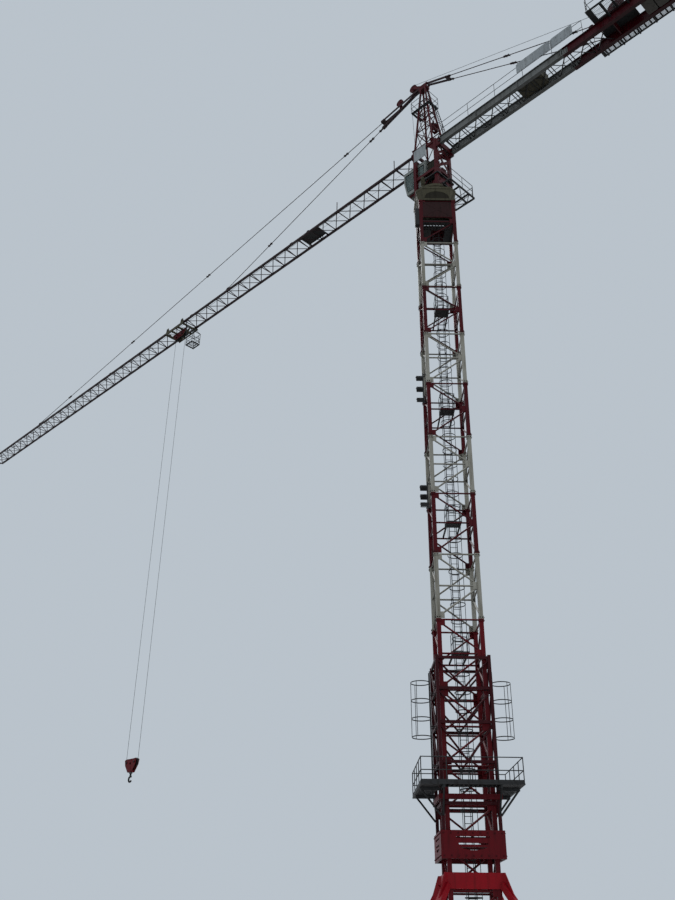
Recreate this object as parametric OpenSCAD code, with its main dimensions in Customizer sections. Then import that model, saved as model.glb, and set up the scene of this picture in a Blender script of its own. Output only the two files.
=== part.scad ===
// Tower crane with a level trolley jib, at half of its real size. Millimetres, +Z up.
// The origin is the middle of the base's underside, on the mast's axis. The front of the mast faces -Y.

/* [Mast] */
// Distance between the centre lines of neighbouring legs
mast_w = 1010; // [960:1:1040]
// Width of a leg's box section
leg_t = 98; // [86:1:108]
// Height of one mast section
section_h = 1666; // [1600:1:1720]
// Thickness of the mast's round braces
mast_brace_t = 46; // [36:1:56]
// Height of the mast's first joint above the ground
base_h = 1030; // [900:1:1200]

/* [Base] */
// Distance from the mast's axis to a foot, along X and along Y
foot_reach = 1600; // [1500:1:1700]
// Width of the cross beams
cross_w = 190; // [150:1:230]
// Height of the cross beams
cross_h = 300; // [240:1:360]
// Width of a square foot plate
foot_w = 400; // [360:1:440]
// Distance between the bolt holes of a foot
foot_bolt_pitch = 290; // [270:1:310]
// Radius of a bolt hole
foot_bolt_r = 18; // [12:1:24]
// Width of a raking strut
strut_t = 130; // [100:1:160]

/* [Climbing frame] */
// Distance from the mast's axis to the centre line of a climbing frame's post
cage_reach = 608; // [606:1:640]
// Height of the climbing frame's lower end above the ground
cage_z0 = 2470; // [2400:1:2520]
// Height of the climbing frame
cage_h = 4330; // [4250:1:4400]
// Half of the platform's width
deck_reach = 1110; // [1060:1:1160]
// Height of the platform's floor above the ground
deck_z = 3910; // [3860:1:3960]
// Height of a handrail above its floor
rail_h = 480; // [420:1:540]

/* [Crane head] */
// Heading of the jib, turned from +X
jib_heading = 134.1; // [0:0.1:360]
// Distance between the side frames of the crane head
head_w = 650; // [620:1:680]
// Width of a post of the crane head
post_t = 104; // [90:1:116]
// Height of the tower top's apex above the jib's lower chords
apex_h = 3350; // [3200:1:3500]

/* [Jib] */
// Height of the jib's lower chords above the mast's top
jib_rise = 2580; // [2540:1:2640]
// Distance between the lower chords
jib_w = 610; // [580:1:640]
// Height of the upper chord above the lower ones
jib_d = 455; // [420:1:500]
// Width of a lower chord's square section
chord_t = 66; // [60:1:72]
// Length of one panel of the jib
panel_l = 698; // [680:1:704]
// Thickness of the jib's round braces
jib_brace_t = 34; // [28:1:38]
// Distance from the mast's axis to the jib's foot
jib_foot = 595; // [585:1:610]

/* [Counter-jib] */
// Distance from the mast's axis to the counter-jib's rear end
tail_l = 8650; // [8500:1:8700]
// Distance between the webs of the girders
girder_gap = 600; // [570:1:630]
// Height of a girder
girder_h = 300; // [270:1:320]
// Width of a girder's flange
girder_flange = 110; // [90:1:120]

/* [Trolley and hook] */
// Distance from the mast's axis to the trolley at rest
trolley_x = 13800; // [13600:1:14000]
// Distance between the two falls of rope
fall_gap = 680; // [640:1:700]
// Diameter of the hoist rope
rope_d = 11; // [9:1:14]
// Height of the hook block's top above the ground at rest
block_z = 6210; // [6000:1:6400]

/* [Hidden] */

red = [0.45, 0.05, 0.07];
white = [0.72, 0.74, 0.72];
steel = [0.33, 0.35, 0.36];
olive = [0.42, 0.42, 0.32];

section_count = 12;
panel_count = 43;
half = mast_w / 2;
half_h = section_h / 2;
mast_top = base_h + section_count * section_h;
plate_t = 12;
running_gap = 0.3;
turn_gap = 6;
jib_z = mast_top + jib_rise;
jib_end = jib_foot + panel_count * panel_l;

// Straight bar of few sides between two points
module bar(a, b, d, sides = 6) {
    v = b - a;
    translate(a)
        rotate([0, acos(v[2] / norm(v)), atan2(v[1], v[0])])
            cylinder(d = d, h = norm(v), $fn = sides);
}

// Rectangular beam between two points, w wide and h high, its width level
module beam(a, b, w, h) {
    v = b - a;
    translate(a)
        rotate([0, -asin(v[2] / norm(v)), atan2(v[1], v[0])])
            translate([0, -w / 2, -h / 2]) cube([norm(v), w, h]);
}

// Cube centred in X and Y, standing on z0
module block(size, z0 = 0) {
    translate([-size[0] / 2, -size[1] / 2, z0]) cube(size);
}

// The child in all four corners of a square
module corners(reach) {
    for (x = [-1, 1], y = [-1, 1]) translate([x * reach, y * reach, 0]) children();
}

// The child on all four sides, made for the front one
module sides() {
    for (a = [0 : 90 : 270]) rotate(a) children();
}

module in_jib_frame() {
    rotate(jib_heading) children();
}

// Handrail along a list of points on the floor: posts, a top rail and a knee rail
module railing(points, height, d = 18) {
    for (i = [0 : len(points) - 1])
        translate(points[i]) cylinder(d = d, h = height, $fn = 6);
    for (i = [0 : len(points) - 2], level = [0.5, 1])
        bar(points[i] + [0, 0, height * level - d / 2],
            points[i + 1] + [0, 0, height * level - d / 2], d);
}

// Base

hub_w = 560;
foot_t = 36;
cross_z = foot_t;

module base_frame() color(red) {
    difference() {
        union() {
            corners(foot_reach) block([foot_w, foot_w, foot_t]);
            block([hub_w, hub_w, cross_z + cross_h]);
        }
        corners(foot_reach) corners(foot_bolt_pitch / 2)
            translate([0, 0, -1]) cylinder(r = foot_bolt_r, h = foot_t + 2, $fn = 32);
    }
    for (a = [45 : 90 : 315]) rotate(a)
        translate([0, -cross_w / 2, cross_z])
            cube([foot_reach * sqrt(2) + 20, cross_w, cross_h]);
    sides() beam([-foot_reach, -foot_reach, cross_z + 90], [foot_reach, -foot_reach, cross_z + 90], 90, 120);
    corners(half) block([leg_t + 20, leg_t + 20, base_h - cross_z - 100], cross_z + 100);
    sides() {
        beam([-half, -half, base_h - 70], [half, -half, base_h - 70], 80, 110);
        bar([-half, -half, base_h - 90], [half, -half, cross_z + cross_h + 30], 60);
        bar([half, -half, base_h - 90], [-half, -half, cross_z + cross_h + 30], 60);
    }
}

ring_z = base_h + half_h + 45;
ring_h = 310;
strut_foot = foot_reach - 110;

module base_struts() color(red) {
    corner = half + leg_t / 2;
    sides() translate([-corner - 30, -corner - 30, ring_z]) cube([2 * corner + 60, 30, ring_h]);
    for (x = [-1, 1], y = [-1, 1])
        beam([x * (corner + 20), y * (corner + 20), ring_z + 90],
             [x * strut_foot, y * strut_foot, cross_z + cross_h - 10], strut_t, strut_t);
    for (a = [45 : 90 : 315]) rotate(a)
        translate([(corner + 10) * sqrt(2), 15, ring_z]) rotate([90, 0, 0])
            linear_extrude(30) polygon([[0, 0], [0, ring_h], [90, ring_h], [330, -230], [230, -260]]);
}

// Mast

joint_gap = 60;
joint_strut = section_h - 16;
splice_h = 70;
splice_lip = 12;
gusset_w = 100;

// One zigzag on the front face, from the left leg at both ends to the right leg at mid-height
module face_bracing() {
    y = -half - leg_t / 2 + 10;
    bar([-half, -half, joint_gap], [half, -half, half_h - 20], mast_brace_t);
    bar([half, -half, half_h + 20], [-half, -half, section_h - joint_gap], mast_brace_t);
    for (z = [half_h, joint_strut]) bar([-half, -half, z], [half, -half, z], mast_brace_t);
    translate([half - leg_t / 2 - gusset_w + 5, y, half_h - 90]) cube([gusset_w, plate_t, 180]);
    for (z = [10, section_h - 170])
        translate([-half + leg_t / 2 - 5, y, z]) cube([gusset_w, plate_t, 160]);
}

module mast_section() {
    corners(half) {
        block([leg_t, leg_t, section_h]);
        for (z = [0, section_h - splice_h])
            block([leg_t + 2 * splice_lip, leg_t + 2 * splice_lip, splice_h], z);
    }
    sides() face_bracing();
}

module mast_sections(numbers) {
    for (n = numbers) translate([0, 0, base_h + n * section_h]) mast_section();
}

module mast_foot_sections() color(red) mast_sections([0 : 3]);
module mast_white_sections() color(white) mast_sections([4 : 2 : 10]);
module mast_red_sections() color(red) mast_sections([5 : 2 : 11]);

// Ladder inside the mast, its hoops and its rest platforms

ladder_w = 180;
rung_pitch = 150;
ladder_x = 60;
ladder_y = 300;
hoop_d = 385;
hoop_pitch = 433;
ladder_z0 = cross_z + cross_h;
ladder_z1 = mast_top - 560;

module ladder(length, w = ladder_w, rail = 22) {
    for (x = [-w / 2, w / 2]) translate([x, 0, 0]) cylinder(d = rail, h = length, $fn = 6);
    for (z = [rung_pitch / 2 : rung_pitch : length - 20])
        translate([-w / 2, 0, z]) rotate([0, 90, 0]) cylinder(d = rail * 0.7, h = w, $fn = 6);
}

// Hoops round a ladder's climbing side, which is its -Y side, with three straps
module hoops(length, pitch, d = hoop_d) {
    r = d / 2;
    for (z = [0 : pitch : length]) translate([0, -r + 20, z]) difference() {
        cylinder(r = r, h = 22, $fn = 32);
        translate([0, 0, -1]) cylinder(r = r - 6, h = 24, $fn = 32);
    }
    for (a = [210, 270, 330])
        translate([(r - 3) * cos(a), -r + 20 + (r - 3) * sin(a), 0])
            cylinder(d = 14, h = length + 22, $fn = 4);
}

module mast_ladder() color(steel) {
    translate([ladder_x, ladder_y, ladder_z0]) ladder(ladder_z1 - ladder_z0);
    for (n = [0 : section_count - 1], z = n < section_count - 1 ? [half_h, joint_strut] : [half_h])
        translate([ladder_x, 0, base_h + n * section_h + z])
            for (x = [-ladder_w / 2, ladder_w / 2])
                bar([x, ladder_y, 0], [x, half - mast_brace_t / 2 + 4, 0], 18);
}

module ladder_hoops() color(steel)
    translate([ladder_x, ladder_y, base_h + 300]) hoops(ladder_z1 - base_h - 400, hoop_pitch);

rest_numbers = [3 : 2 : 9];
rest_w = 400;
rest_d = 380;
rest_y = ladder_y - hoop_d + 10;

module rest_platforms() color(steel)
    for (n = rest_numbers) translate([0, 0, base_h + n * section_h + half_h + mast_brace_t / 2]) {
        for (x = [-rest_w / 2 + 30, rest_w / 2 - 30]) beam([x, -half, 15], [x, half, 15], 40, 30);
        translate([-rest_w / 2, rest_y - rest_d, 30]) cube([rest_w, rest_d, 16]);
        railing([for (p = [[-1, -15], [-1, -rest_d + 15], [1, -rest_d + 15], [1, -15]])
            [p[0] * (rest_w / 2 - 12), rest_y + p[1], 40]], rail_h, 16);
    }

// Floodlights on the mast's left front leg

light_pole_x = -half - leg_t / 2 - 90;
light_x = light_pole_x - 100;
light_reach = 30;

// Lamp housing with its rim and its yoke, tilted about X
module floodlight(tilt) {
    rotate([tilt, 0, 0]) {
        block([150, 110, 60], -30);
        difference() {
            block([170, 130, 50], -70);
            block([140, 100, 42], -72);
        }
    }
    for (x = [-90, 78]) translate([x, -8, -40]) cube([12, 16, 80]);
    translate([-90, -8, 36]) cube([180, 16, 14]);
}

// Pole beside the leg with three lamps, above joint number n
module light_mast(n, heights, tilts) {
    z = base_h + n * section_h;
    z0 = heights[0] - 120;
    z1 = heights[2] + 140;
    translate([light_pole_x, -half, z + z0]) cylinder(d = 34, h = z1 - z0, $fn = 8);
    for (h = [z0 + 30, z1 - 40])
        bar([light_pole_x, -half, z + h], [-half - leg_t / 2 + 4, -half, z + h], 30);
    for (i = [0 : 2]) {
        yoke_z = z + heights[i] + 43;
        bar([light_pole_x, -half, yoke_z], [light_x - light_reach, -half, yoke_z], 16);
        translate([light_x, -half, z + heights[i]]) floodlight(tilts[i]);
    }
}

module floodlights() color(steel) {
    light_mast(7, [1130, 1475, 1830], [35, 60, 55]);
    light_mast(6, [-330, -105, 150], [15, 50, 55]);
}

// Climbing frame round the lower mast

cage_post_t = 70;
cage_top = cage_z0 + cage_h;
cage_levels = [1100, 1955, 2810, 3565, cage_h - 60];
cage_brace_t = 48;
cage_outer = cage_reach + cage_post_t / 2;
leg_outer = half + leg_t / 2;
shoe_levels = [900, cage_h - 300];

module climbing_frame() color(red) {
    translate([0, 0, cage_z0]) {
        corners(cage_reach) block([cage_post_t, cage_post_t, cage_h]);
        sides() {
            for (z = cage_levels) beam([-cage_reach, -cage_reach, z], [cage_reach, -cage_reach, z], 46, 64);
            for (i = [1 : len(cage_levels) - 2], s = [-1, 1])
                bar([s * cage_reach, -cage_reach, cage_levels[i + 1] - 40],
                    [0, -cage_reach, cage_levels[i] + 10], cage_brace_t);
        }
        // guide shoes between the frame's posts and the mast's legs
        for (z = shoe_levels, x = [-1, 1], y = [-1, 1])
            translate([x * (leg_outer + cage_reach) / 2, y * (half + cage_reach) / 2, z])
                block([cage_reach - leg_outer, cage_reach - half, 160]);
    }
}

collar_t = 40;
collar_plate_h = 555;
slot_h = 36;

// Slotted plate of the frame's lower collar on the front face, with a lens-shaped lowest slot
module collar_plate() {
    w = 2 * cage_outer;
    translate([0, -cage_outer, 0]) rotate([90, 0, 0]) linear_extrude(collar_t) difference() {
        translate([-w / 2 - collar_t, 0]) square([w + 2 * collar_t, collar_plate_h]);
        translate([-w * 0.28, collar_plate_h - 120 - slot_h]) square([w * 0.56, slot_h]);
        translate([-w * 0.24, collar_plate_h - 250 - slot_h]) square([w * 0.48, slot_h]);
        intersection() {
            translate([-w * 0.25, collar_plate_h - 390]) square([w * 0.5, 60]);
            translate([0, collar_plate_h - 390 + w * 0.6]) circle(r = w * 0.6, $fn = 96);
        }
    }
}

band_h = 110;

module climbing_collars() color(red) {
    translate([0, 0, cage_z0]) sides() collar_plate();
    translate([0, 0, deck_z - 270]) sides()
        translate([-cage_outer - collar_t, -cage_outer - collar_t, 0])
            cube([2 * (cage_outer + collar_t), collar_t, band_h]);
}

deck_t = 30;
deck_hole = cage_outer + collar_t + 2;
knee_drop = 590;

module climbing_deck() color(steel) {
    translate([0, 0, deck_z - deck_t]) difference() {
        block([2 * deck_reach, 2 * deck_reach, deck_t]);
        block([2 * deck_hole, 2 * deck_hole, deck_t + 2], -1);
        sides() for (x = [-deck_hole + 30 : 100 : deck_hole - 80])
            translate([x, -deck_reach + 50, -1]) cube([60, deck_reach - deck_hole - 90, deck_t + 2]);
    }
    sides() for (x = [-cage_reach, cage_reach]) {
        beam([x, -cage_outer + 6, deck_z - deck_t - 30], [x, -deck_reach + 30, deck_z - deck_t - 30], 50, 60);
        bar([x, -deck_reach + 60, deck_z - deck_t - 50], [x, -cage_outer, deck_z - knee_drop], 44);
    }
}

deck_rail_h = rail_h + 60;

module climbing_railing() color(steel) {
    r = deck_reach - 15;
    sides() railing([for (i = [0 : 4]) [-r + i * r / 2, -r, deck_z]], deck_rail_h, 22);
    sides() translate([-r, -r - 4, deck_z]) cube([2 * r, 8, 70]);
}

side_hoop_d = 460;
side_hoop_z = cage_z0 + 2570;
side_hoop_l = 1240;
side_ladder_x = cage_outer + 90;

module side_ladders() color(steel)
    for (s = [-1, 1]) {
        translate([s * side_ladder_x, 0, deck_z]) rotate(s > 0 ? 90 : -90) {
            ladder(cage_top - deck_z - 250);
            translate([0, 0, side_hoop_z - deck_z]) hoops(side_hoop_l, side_hoop_l / 3, side_hoop_d);
        }
        for (i = [1 : 3], y = [-ladder_w / 2, ladder_w / 2]) {
            z = cage_z0 + cage_levels[i];
            bar([s * (cage_reach + 15), y, z], [s * side_ladder_x, y, z], 22);
        }
    }

// Top of the mast

landing_z = base_h + (section_count - 1) * section_h + half_h + mast_brace_t / 2;
landing_t = 24;
head_box = [130, 150, 640];

// Grating inside the top section, its guard rail, and the box on the mast's left front leg
module top_landing() color(steel) {
    inner = half - leg_t / 2 - 16;
    translate([0, 0, landing_z]) {
        difference() {
            union() {
                block([2 * half, 2 * inner, landing_t]);
                block([2 * inner, 2 * half, landing_t]);
            }
            translate([ladder_x - hoop_d / 2 - 15, ladder_y - hoop_d - 10, -1])
                cube([hoop_d + 30, hoop_d + 100, landing_t + 6]);
            for (row = [0 : 3], x = [-inner + 40 : 92 : inner - 90])
                translate([x, -inner + 40 + row * 84, -1]) cube([60, 44, landing_t + 2]);
        }
        r = inner - 14;
        railing([for (p = [[-r, r], [-r, -r], [0, -r], [r, -r], [r, r]]) concat(p, landing_t)], rail_h, 16);
    }
    translate([-leg_outer - head_box[0], -half - 40, mast_top - 980]) cube(head_box);
}

module mast_head() color(red) {
    h = 700;
    translate([0, 0, mast_top - h])
        sides() translate([-half + leg_t / 2, -leg_outer, 0]) cube([mast_w - leg_t, plate_t, h - 80]);
}

collar_h = 560;
collar_foot = mast_w + leg_t + 24;
collar_wide = collar_foot + 110;
collar_cut = 170;
collar_foot_h = 40;
race_r = 560;
race_h = 60;

// Square with cut corners
module cut_square(w, cut) {
    h = w / 2;
    polygon([[h - cut, -h], [h, -h + cut], [h, h - cut], [h - cut, h],
             [-h + cut, h], [-h, h - cut], [-h, -h + cut], [-h + cut, -h]]);
}

// Fixed part of the slewing gear: a flared eight-sided collar that carries the lower bearing ring
module slewing_collar() color(olive) {
    flare_h = collar_h - race_h - 30;
    translate([0, 0, mast_top]) difference() {
        union() {
            block([collar_foot, collar_foot, collar_foot_h]);
            hull() {
                translate([0, 0, collar_foot_h]) linear_extrude(10) cut_square(collar_foot - 8, collar_cut);
                translate([0, 0, flare_h - 60]) linear_extrude(10) cut_square(collar_wide - 30, collar_cut);
            }
            translate([0, 0, flare_h - 50]) linear_extrude(80) cut_square(collar_wide, collar_cut + 20);
            translate([0, 0, flare_h]) cylinder(r = race_r + 30, h = race_h + 30, $fn = 96);
        }
        translate([0, 0, -1]) cylinder(r = race_r - 90, h = collar_h + 2, $fn = 96);
    }
}

// Slewing part

turn_z = mast_top + collar_h + turn_gap;
turn_h = 90;
floor_z = turn_z + turn_h;
front_x = 440;
rear_x = -420;
jib_top = jib_z + jib_d;

module turntable() color(olive) in_jib_frame() translate([0, 0, turn_z]) difference() {
    union() {
        cylinder(r = race_r + 45, h = turn_h, $fn = 96);
        // running race, which comes down to the fixed ring
        translate([0, 0, running_gap - turn_gap]) cylinder(r = race_r - 20, h = turn_gap, $fn = 96);
        translate([rear_x - post_t / 2, -head_w / 2 - post_t / 2, 40])
            cube([front_x - rear_x + post_t, head_w + post_t, turn_h - 40]);
    }
    translate([0, 0, -turn_gap]) cylinder(r = race_r - 70, h = turn_h + turn_gap + 1, $fn = 96);
}

head_h = jib_z + 90 - floor_z;
head_ring = 770;
head_upper = 1420;
tail_root = -617;
cab_lift = 470;
cab_x0 = 60;
cab_x1 = 985;
bearer_y = 180;
bearer_h = 62;

// Triangle drawn smaller by a margin, an opening between two crossing bars
module brace_hole(a, b, c, margin = 0.3) {
    m = (a + b + c) / 3;
    polygon([for (p = [a, b, c]) p + (m - p) * margin]);
}

// Plate with crossing bars: the four openings round the crossing
module crossed_plate(w, h) {
    linear_extrude(plate_t) difference() {
        square([w, h]);
        brace_hole([0, 0], [w, 0], [w / 2, h / 2]);
        brace_hole([0, h], [w, h], [w / 2, h / 2]);
        brace_hole([0, 0], [0, h], [w / 2, h / 2], 0.4);
        brace_hole([w, 0], [w, h], [w / 2, h / 2], 0.4);
    }
}

module crane_head() color(red) in_jib_frame() translate([0, 0, floor_z]) {
    for (s = [-1, 1]) translate([0, s * head_w / 2, 0]) {
        for (x = [rear_x, front_x]) translate([x, 0, 0]) block([post_t, post_t, head_h]);
        for (z = [60, head_ring, head_h - 60]) beam([rear_x, 0, z], [front_x, 0, z], 76, 110);
        bar([front_x, 0, 130], [rear_x, 0, head_ring - 60], 60);
        // corner plates at the top and bottom of the rear post
        translate([0, plate_t / 2 + s * 12, 0]) rotate([90, 0, 0]) linear_extrude(plate_t) {
            polygon([[rear_x, head_h - 110], [rear_x + 330, head_h - 110], [rear_x, head_h - 520]]);
            polygon([[rear_x, 110], [rear_x + 260, 110], [rear_x, 430]]);
        }
    }
    for (z = [60, cab_lift - 100, head_ring, head_h - 60])
        beam([rear_x, -head_w / 2, z], [rear_x, head_w / 2, z], 72, 86);
    for (z = [60, cab_lift - 100, head_h - 60])
        beam([front_x, -head_w / 2, z], [front_x, head_w / 2, z], 72, 86);
    // bearers under the cab's floor
    for (y = [-bearer_y, bearer_y])
        beam([rear_x, y, cab_lift - bearer_h / 2], [cab_x1 - 150, y, cab_lift - bearer_h / 2], 50, bearer_h);
    rear_face = rear_x - post_t / 2 + 6;
    for (z = [[120, head_ring - 60], [head_ring + 60, head_upper], [head_upper, head_h - 116]])
        translate([rear_face, -head_w / 2 + 20, z[0]]) rotate([90, 0, 90])
            crossed_plate(head_w - 40, z[1] - z[0]);
    // lugs that hold the jib's foot, and deep brackets that hold the counter-jib
    for (s = [-1, 1]) {
        translate([front_x + post_t / 2 - 5, s * head_w / 2 - 45, head_h - 150]) cube([60, 90, 120]);
        translate([tail_root, s * head_w / 2 - 45, head_h - 400]) cube([rear_x - tail_root, 90, 330]);
    }
    translate([tail_root + 40, -head_w / 2, head_h - 330]) cube([24, head_w, 200]);
}

balcony_x = -900;
balcony_y0 = -890;
balcony_y1 = 300;
balcony_z = turn_z + 62;
balcony_w = 44;
balcony_in = race_r + 50;

// Open floor frame behind and beside the crane head, with crossing bars below it
module head_balcony() color(steel) in_jib_frame() {
    z = balcony_z - balcony_w / 2;
    outer = [[-150, balcony_y0], [balcony_x, balcony_y0], [balcony_x, balcony_y1]];
    inner = [[-150, -balcony_in], [-balcony_in, -balcony_in], [-balcony_in, balcony_y1]];
    for (line = [outer, inner], i = [0, 1])
        beam(concat(line[i], z), concat(line[i + 1], z), balcony_w, balcony_w);
    for (y = [balcony_y1, -150, -balcony_in])
        beam([balcony_x, y, z], [-balcony_in, y, z], balcony_w, balcony_w);
    for (x = [-150, -balcony_in]) beam([x, balcony_y0, z], [x, -balcony_in, z], balcony_w, balcony_w);
    for (pair = [[[balcony_x, balcony_y1], [-balcony_in, -150]],
                 [[balcony_x, -150], [-balcony_in, -balcony_in]],
                 [[-balcony_in, balcony_y0], [-150, -balcony_in]],
                 [[balcony_x, -balcony_in], [-balcony_in, balcony_y0]]])
        bar(concat(pair[0], z - 6), concat(pair[1], z - 6), 26);
    // arms that hold the frame on the turntable's rim
    for (y = [-200, 200]) beam([-balcony_in, y, z], [-race_r + 10, y, z], balcony_w, balcony_w);
    beam([-200, -balcony_in, z], [-200, -race_r + 10, z], balcony_w, balcony_w);
    floor = balcony_z - 6;
    railing([[-160, balcony_y0, floor], [-520, balcony_y0, floor], [balcony_x + 60, balcony_y0, floor],
             [balcony_x, balcony_y0 + 60, floor], [balcony_x, -300, floor], [balcony_x, balcony_y1, floor]],
            rail_h, 18);
}

// Driver's cab under the jib's foot

cab_w = head_w - post_t - 2;
cab_z0 = floor_z + cab_lift;
cab_h = 980;
cab_wall = 22;
cab_slope = 105;
cab_sill = 550;
window_low = 290;

// Side of the cab, whose front leans outwards below the sill
function cab_side(inset) = [
    [cab_x0 + inset, cab_z0 + inset], [cab_x1 - cab_slope - inset * 0.8, cab_z0 + inset],
    [cab_x1 - inset, cab_z0 + cab_sill], [cab_x1 - inset, cab_z0 + cab_h - inset],
    [cab_x0 + inset, cab_z0 + cab_h - inset]];

module cab_windows(extra) {
    for (s = [-1, 1]) translate([0, s * (cab_w / 2 - cab_wall / 2), 0]) rotate([90, 0, 0])
        linear_extrude(cab_wall + extra, center = true) {
            polygon([[cab_x1 - 410, cab_z0 + 130], [cab_x1 - 150, cab_z0 + 130],
                     [cab_x1 - 65, cab_z0 + cab_sill], [cab_x1 - 65, cab_z0 + cab_h - 110],
                     [cab_x1 - 410, cab_z0 + cab_h - 110]]);
            translate([cab_x0 + 80, cab_z0 + 430]) square([360, cab_h - 540]);
        }
    translate([cab_x1 - cab_wall - extra / 2, -cab_w / 2 + 60, cab_z0 + cab_sill + 40])
        cube([cab_wall + extra, cab_w - 120, cab_h - cab_sill - 140]);
}

// Slanted window at the front, below the driver's feet
module lower_window(thick) {
    translate([cab_x1 - cab_slope * (1 - window_low / cab_sill) - cab_wall / 2, 0, cab_z0 + window_low])
        rotate([0, atan2(cab_slope, cab_sill), 0]) cube([thick, cab_w - 120, 400], center = true);
}

module cab_shell() color(white) in_jib_frame() difference() {
    translate([0, cab_w / 2, 0]) rotate([90, 0, 0]) linear_extrude(cab_w) polygon(cab_side(0));
    translate([0, cab_w / 2 - cab_wall, 0]) rotate([90, 0, 0])
        linear_extrude(cab_w - 2 * cab_wall) polygon(cab_side(cab_wall));
    cab_windows(10);
    lower_window(70);
}

module cab_glazing() color([0.35, 0.45, 0.45]) in_jib_frame() {
    cab_windows(-10);
    lower_window(10);
}

// Tower top, which holds the ties

top_z = jib_z + 150;
apex_z = jib_z + apex_h;
apex_x = 140;
leg_d = 70;
top_levels = [0.28, 0.55, 0.78];
top_rear_x = rear_x + 110;

// Point on a leg of the tower top, at share t of its height
function top_leg(x, s, t) = [
    x + (apex_x + (x > 0 ? 130 : -50) - x) * t,
    s * (head_w / 2 + (60 - head_w / 2) * t),
    top_z + (apex_z - 120 - top_z) * t];

module tower_top() color(red) in_jib_frame() {
    for (x = [front_x, top_rear_x], s = [-1, 1]) {
        foot_drop = x > 0 ? 0 : 5;
        translate([x, s * head_w / 2, jib_z + 90]) block([post_t, post_t, 70 + foot_drop], -foot_drop);
        bar(top_leg(x, s, 0) - [0, 0, 10], top_leg(x, s, 1), leg_d, 8);
    }
    // apex casting with the pin plates of the ties
    translate([apex_x + 45, 0, apex_z - 190]) block([330, 190, 115]);
    for (y = [-75, 75]) translate([apex_x, y, apex_z - 60]) rotate([90, 0, 0])
        linear_extrude(24, center = true) hull() {
            square([230, 60], center = true);
            translate([-130, 40]) circle(d = 90, $fn = 32);
            translate([150, 50]) circle(d = 90, $fn = 32);
        }
    for (x = [-130, 150]) translate([apex_x + x, 0, apex_z - 60 + (x > 0 ? 50 : 40)]) rotate([90, 0, 0])
        cylinder(d = 40, h = 200, center = true, $fn = 32);
}

// Level bars and crossing bars between the tower top's legs
module top_bracing() color(red) in_jib_frame() {
    for (t = top_levels, s = [-1, 1]) {
        bar(top_leg(front_x, s, t), top_leg(top_rear_x, s, t), 36);
        bar(top_leg(s > 0 ? front_x : top_rear_x, -1, t), top_leg(s > 0 ? front_x : top_rear_x, 1, t), 36);
    }
    steps = concat([0.02], top_levels);
    for (i = [0 : len(steps) - 2], s = [-1, 1]) {
        bar(top_leg(front_x, s, steps[i]), top_leg(top_rear_x, s, steps[i + 1]), 26);
        bar(top_leg(top_rear_x, s, steps[i]), top_leg(front_x, s, steps[i + 1]), 26);
        bar(top_leg(front_x, s, steps[i]), top_leg(front_x, -s, steps[i + 1]), 26);
    }
}

gallery_z = jib_z + 2150;
gallery_x0 = -200;
gallery_x1 = 600;
gallery_w = 500;
gallery_hole = [-105, 375, 198];

module top_gallery() color(steel) in_jib_frame() {
    y = gallery_w / 2 - 10;
    translate([0, 0, gallery_z]) difference() {
        translate([gallery_x0, -gallery_w / 2, 0]) cube([gallery_x1 - gallery_x0, gallery_w, 16]);
        translate([gallery_hole[0], -gallery_hole[2], -1])
            cube([gallery_hole[1] - gallery_hole[0], 2 * gallery_hole[2], 18]);
        for (x = [gallery_hole[1] + 25 : 48 : gallery_x1 - 60])
            translate([x, -gallery_hole[2], -1]) cube([32, 2 * gallery_hole[2], 18]);
    }
    for (s = [-1, 1])
        beam([gallery_x0 + 10, s * 201, gallery_z - 20], [gallery_x1 - 10, s * 201, gallery_z - 20], 30, 40);
    railing([for (p = [[gallery_x0 + 10, y], [200, y], [gallery_x1 - 10, y], [gallery_x1 - 10, -y], [200, -y],
                       [gallery_x0 + 10, -y], [gallery_x0 + 10, y]]) concat(p, gallery_z + 8)], rail_h, 16);
}

// Ladder from the counter-jib up to the gallery
module top_ladder() color(steel) in_jib_frame() {
    foot = [tail_root - 35, 0, girder_z1 + 10];
    head = [gallery_x0 - 20, 0, gallery_z];
    lean = atan2(head[0] - foot[0], head[2] - foot[2]);
    beam([foot[0], -girder_y, girder_z1 + 12], [foot[0], girder_y, girder_z1 + 12], 40, 24);
    translate(foot) rotate([0, lean, 0]) rotate(-90) ladder(norm(head - foot));
    for (s = [-1, 1]) {
        bar(head + [-8, s * ladder_w / 2, -50], [gallery_x0 + 16, s * ladder_w / 2, gallery_z + 8], 18);
        for (t = [top_levels[0], top_levels[1]]) {
            leg = top_leg(top_rear_x, s, t);
            side = foot + (head - foot) * ((leg[2] - foot[2]) / (head[2] - foot[2]));
            bar(side + [0, s * ladder_w / 2, 0], leg, 18);
        }
    }
}

// Grooved rope sheave with its axle along Y
module sheave(r, w = 60, bore = 24) {
    rotate([90, 0, 0]) rotate_extrude($fn = 64)
        polygon([[bore, -w / 2], [bore + 30, -w / 2], [bore + 30, -w / 5], [r - 24, -w / 5], [r, -w / 2],
                 [r, -w / 3], [r - groove, -w / 8], [r - groove, w / 8], [r, w / 3], [r, w / 2],
                 [r - 24, w / 5], [bore + 30, w / 5], [bore + 30, w / 2], [bore, w / 2]]);
}

head_sheave = [apex_x + 510, 0, apex_z + 290];
head_sheave_r = 150;
link_sheave_r = 140;
link_sheave = [1290, 0, apex_z + 100];
guide_sheave = [760, 0, jib_z + 430];
guide_sheave_r = 100;
nose_sheave = [jib_end + 340, 0, jib_z + 60];
nose_sheave_r = 110;
groove = 16;

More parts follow.
